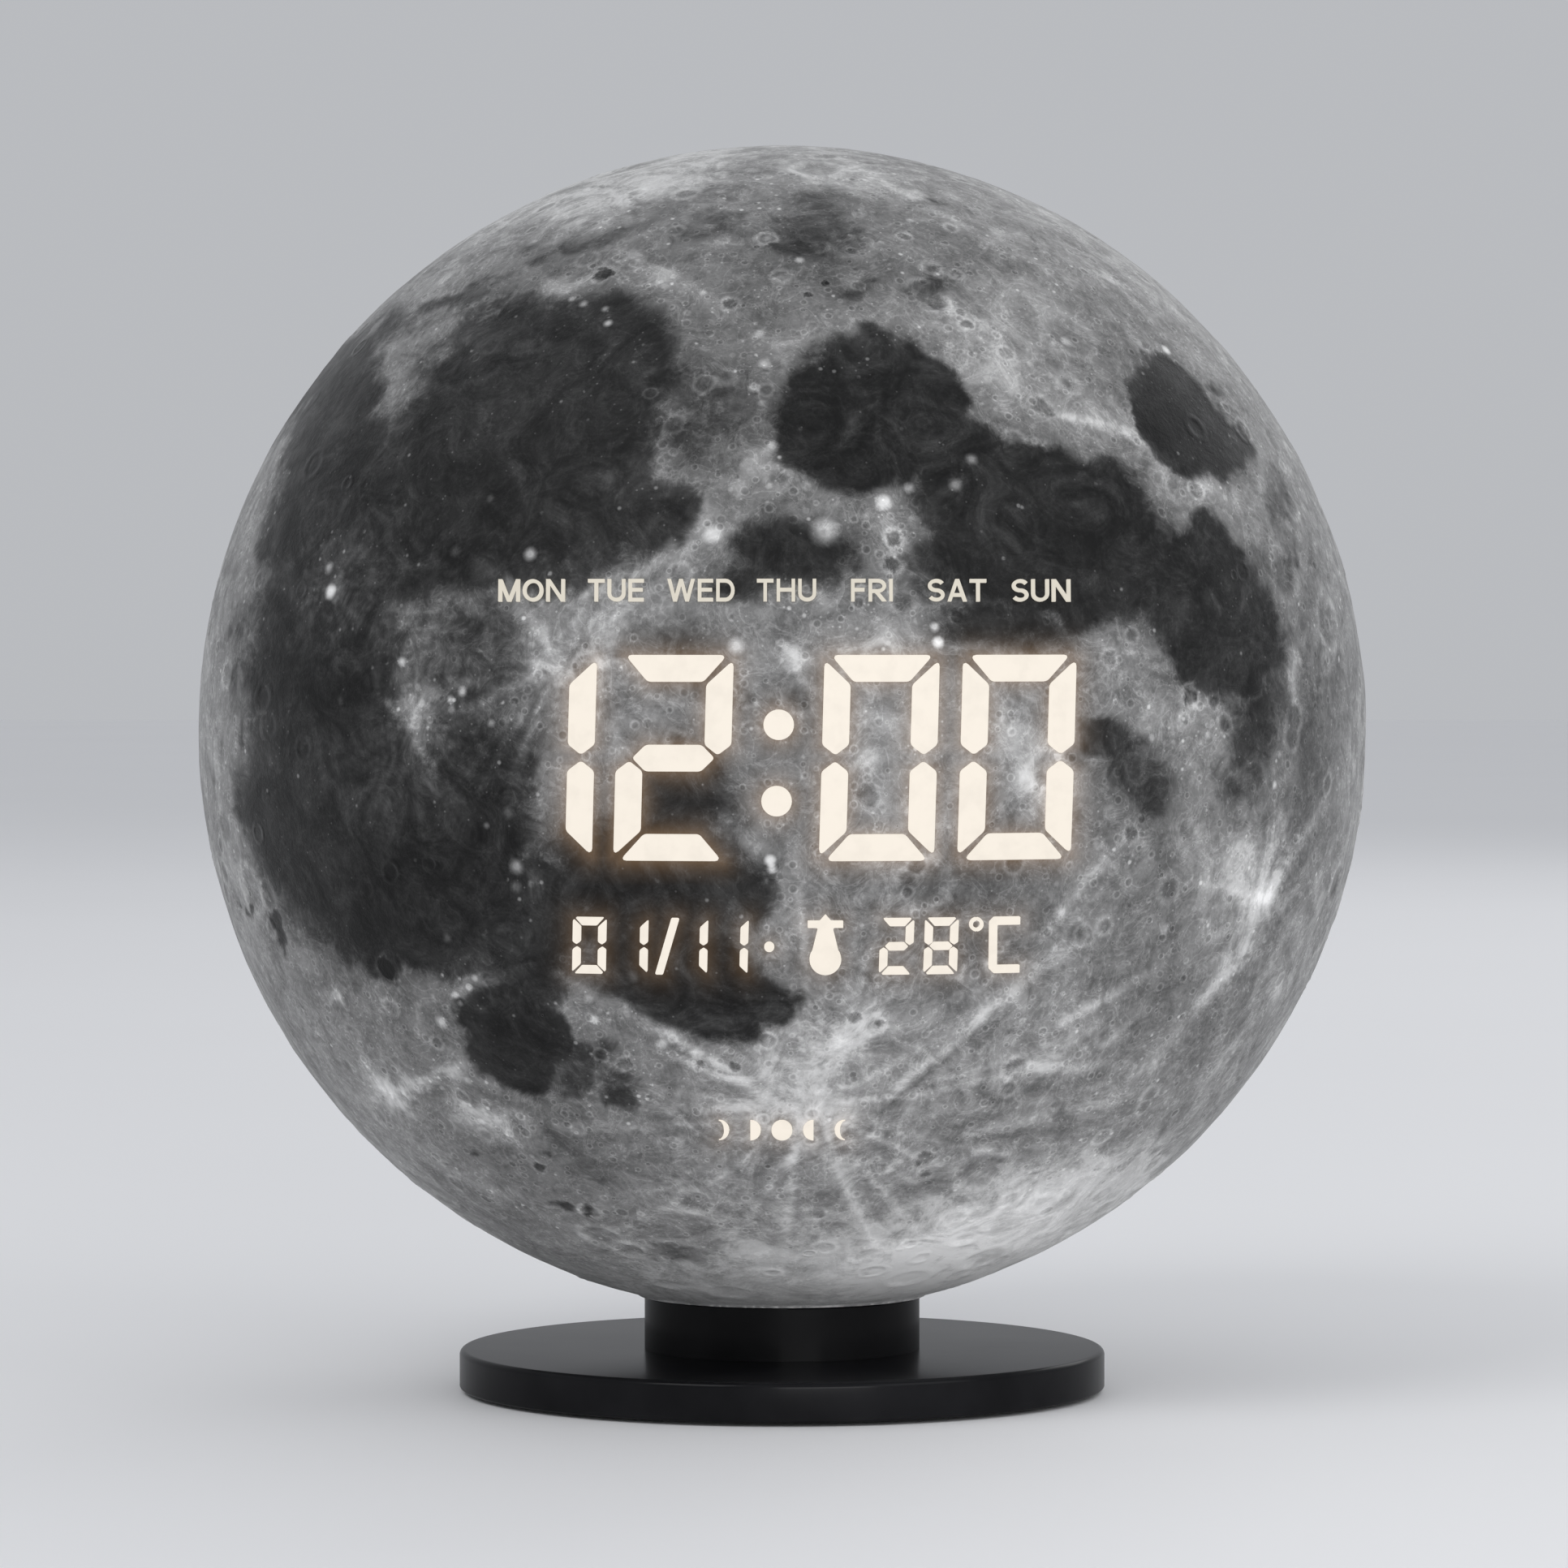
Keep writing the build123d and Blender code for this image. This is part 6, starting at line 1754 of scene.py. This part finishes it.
@dataclass
class Studio:
    """Floor, lights and camera."""

    globe: MoonGlobe
    eye_x: float = 0.25 * MM
    eye_distance: float = 870 * MM
    eye_above_globe: float = 13.7 * MM
    focal_px: float = 8338.0
    frame_px: float = 1932.0
    globe_px_y: float = 899.0
    sensor: float = 36.0
    world_strength: float = 0.62
    backdrop_share: float = 0.915
    sky: Colour = (0.86, 0.88, 0.92)
    floor_half_w: float = 6.0
    floor_cloud: float = 3.0
    floor_roughness: float = 0.6
    clip_end: float = 20.0
    floor_tones: tuple[Colour, Colour] = ((0.86, 0.86, 0.87), (0.89, 0.89, 0.90))
    lamps: tuple[Lamp, ...] = (
        Lamp("key lamp", (-0.9, -1.2, 1.3), 0.9, 9.0),
        Lamp("fill lamp", (1.2, -0.9, 0.8), 1.0, 4.0),
        Lamp("low lamp", (0.35, -1.3, 0.08), 0.8, 9.0),
        Lamp("back lamp", (0.8, 1.4, 1.1), 1.0, 4.5),
    )

    def camera(self) -> None:
        """Camera at the photograph's viewing angle."""
        data = bpy.data.cameras.new("camera")
        data.sensor_width = self.sensor
        data.lens = self.focal_px / self.frame_px * self.sensor
        data.clip_end = self.clip_end
        eye = add_object("camera", data)
        eye.location = (self.eye_x, -self.eye_distance, self.globe.centre.z + self.eye_above_globe)
        fall = math.atan(self.eye_above_globe / self.eye_distance)
        lift = math.atan((self.frame_px / 2 - self.globe_px_y) / self.focal_px)
        eye.rotation_euler = (math.pi / 2 - fall - lift, 0, 0)
        bpy.context.scene.camera = eye

    def light(self, lamp: Lamp) -> None:
        """Hang one lamp."""
        data = bpy.data.lights.new(lamp.name, "AREA")
        data.size = lamp.size
        data.energy = lamp.power
        item = add_object(lamp.name, data)
        item.location = lamp.place
        item.rotation_euler = (self.globe.centre - Vector(lamp.place)).to_track_quat("-Z", "Y").to_euler()

    def floor(self) -> None:
        """Pale level floor."""
        work = bmesh.new()
        bmesh.ops.create_grid(work, x_segments=1, y_segments=1, size=self.floor_half_w)
        tree = ShaderTree("floor")
        cloud = tree.noise(tree.place(), self.floor_cloud)
        tree.fix("Base Color", tree.blend(cloud, *self.floor_tones))
        tree.fix("Roughness", self.floor_roughness)
        floor = add_object("floor", Workshop.mesh("floor", work, tree.material, smooth=False))

    def world(self) -> None:
        """Even pale surroundings."""
        world = bpy.data.worlds.new("studio")
        world.use_nodes = True
        nodes, links = world.node_tree.nodes, world.node_tree.links
        background = nodes["Background"]
        background.inputs["Color"].default_value = (*self.sky, 1.0)
        seen = nodes.new("ShaderNodeMapRange")
        seen.inputs["To Min"].default_value = self.world_strength
        seen.inputs["To Max"].default_value = self.world_strength * self.backdrop_share
        links.new(nodes.new("ShaderNodeLightPath").outputs["Is Camera Ray"], seen.inputs["Value"])
        links.new(seen.outputs["Result"], background.inputs["Strength"])
        bpy.context.scene.world = world

    def build(self) -> None:
        """Set the whole studio."""
        self.camera()
        self.floor()
        self.world()
        for lamp in self.lamps:
            self.light(lamp)
        bpy.context.scene.view_settings.view_transform = "Standard"


def dress_frame() -> dict[str, bpy.types.Material]:
    """Give each CAD node whose material slot is listed here its finish.

    Returns:
        The finishes by material slot.
    """
    finishes = {
        "base_black": Moulded("base black", (0.006, 0.006, 0.007), 0.3, 1500.0, 0.001 * MM, 0.3, 0.02, 0.15),
        "collar_black": Moulded(
            "collar black", (0.004, 0.004, 0.0045), 0.42, 1200.0, 0.006 * MM, 0.3, 0.04, 0.08
        ),
        "cover_black": Moulded("cover black", (0.016, 0.016, 0.017), 0.7, 700.0, 0.03 * MM, 0.2, 0.3),
        "button_black": Moulded("button black", (0.03, 0.03, 0.033), 0.5, 1200.0, 0.01 * MM, 0.2, 0.4),
        "inner_plastic": Moulded("inner plastic", (0.02, 0.02, 0.02), 0.7),
        "plunger_white": Moulded("plunger white", (0.8, 0.79, 0.75), 0.5),
        "steel": Metal("zinc steel", (0.55, 0.55, 0.56), 0.35),
        "usb_shell": Metal("nickel sheet", (0.66, 0.66, 0.66), 0.25),
        "usb_insulator": Moulded("inlet tongue", (0.02, 0.02, 0.02), 0.5),
        "soft_rubber": Moulded("soft rubber", (0.04, 0.04, 0.04), 0.85, 500.0, 0.04 * MM, 0.15, 0.2),
        "circuit_board": CircuitBoard("green board", (0.03, 0.16, 0.07), (0.08, 0.3, 0.13)),
        "lamp_circuit": CircuitBoard("white board", (0.8, 0.8, 0.78), (0.62, 0.62, 0.6)),
        "chip_black": Moulded("chip resin", (0.03, 0.03, 0.033), 0.55, 2500.0),
        "chip_metal": Metal("nickel plate", (0.75, 0.74, 0.7), 0.22),
        "sensor_bead": Moulded("sensor bead", (0.08, 0.06, 0.04), 0.3),
        "lamp_white": Lit("lamp lens", (1.0, 0.93, 0.72), 0.2, 0.8),
        "light_guide": Lit("light guide", (1.0, 0.93, 0.82), 0.3, 0.8),
        "printed_film": Moulded("printed film", (0.015, 0.015, 0.015), 0.4),
        "cable_jacket": Moulded("cable jacket", (0.025, 0.025, 0.025), 0.6),
        "milky_dome": Moulded("milky dome", (0.88, 0.88, 0.86), 0.45, 600.0, 0.02 * MM, 0.03),
    }
    made = {slot: finish.make() for slot, finish in finishes.items()}
    slots = {entry["node"]: entry["material_slot"] for entry in frame["record"]["subparts"]}
    for node, piece in frame["nodes"].items():
        material = made.get(slots[node])
        if material is None:
            continue
        piece.data.materials.clear()
        piece.data.materials.append(material)
        log.info("%s wears %s", node, material.name)
    return made


def main() -> None:
    """Build the studio and dress the clock."""
    logging.basicConfig(level=logging.INFO, format="%(name)s: %(message)s")
    globe = MoonGlobe()
    Studio(globe).build()
    made = dress_frame()
    BasePlate().build(made["base_black"])
    signs = LightSigns(globe)
    skin = MoonSkin(globe).make()
    for name, side, node in (("moon_front", -1, "front_shell"), ("moon_rear", 1, "rear_shell")):
        piece = globe.build(name, side, skin, signs)
        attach(piece, BODY)
        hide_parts(node)
    faint = Lit("faint warm light", (0.69, 0.645, 0.555), 1.0).make()
    signs.build(Lit("warm light", (0.885, 0.815, 0.72), 1.0).make(), faint)


if __name__ == "__main__":
    main()
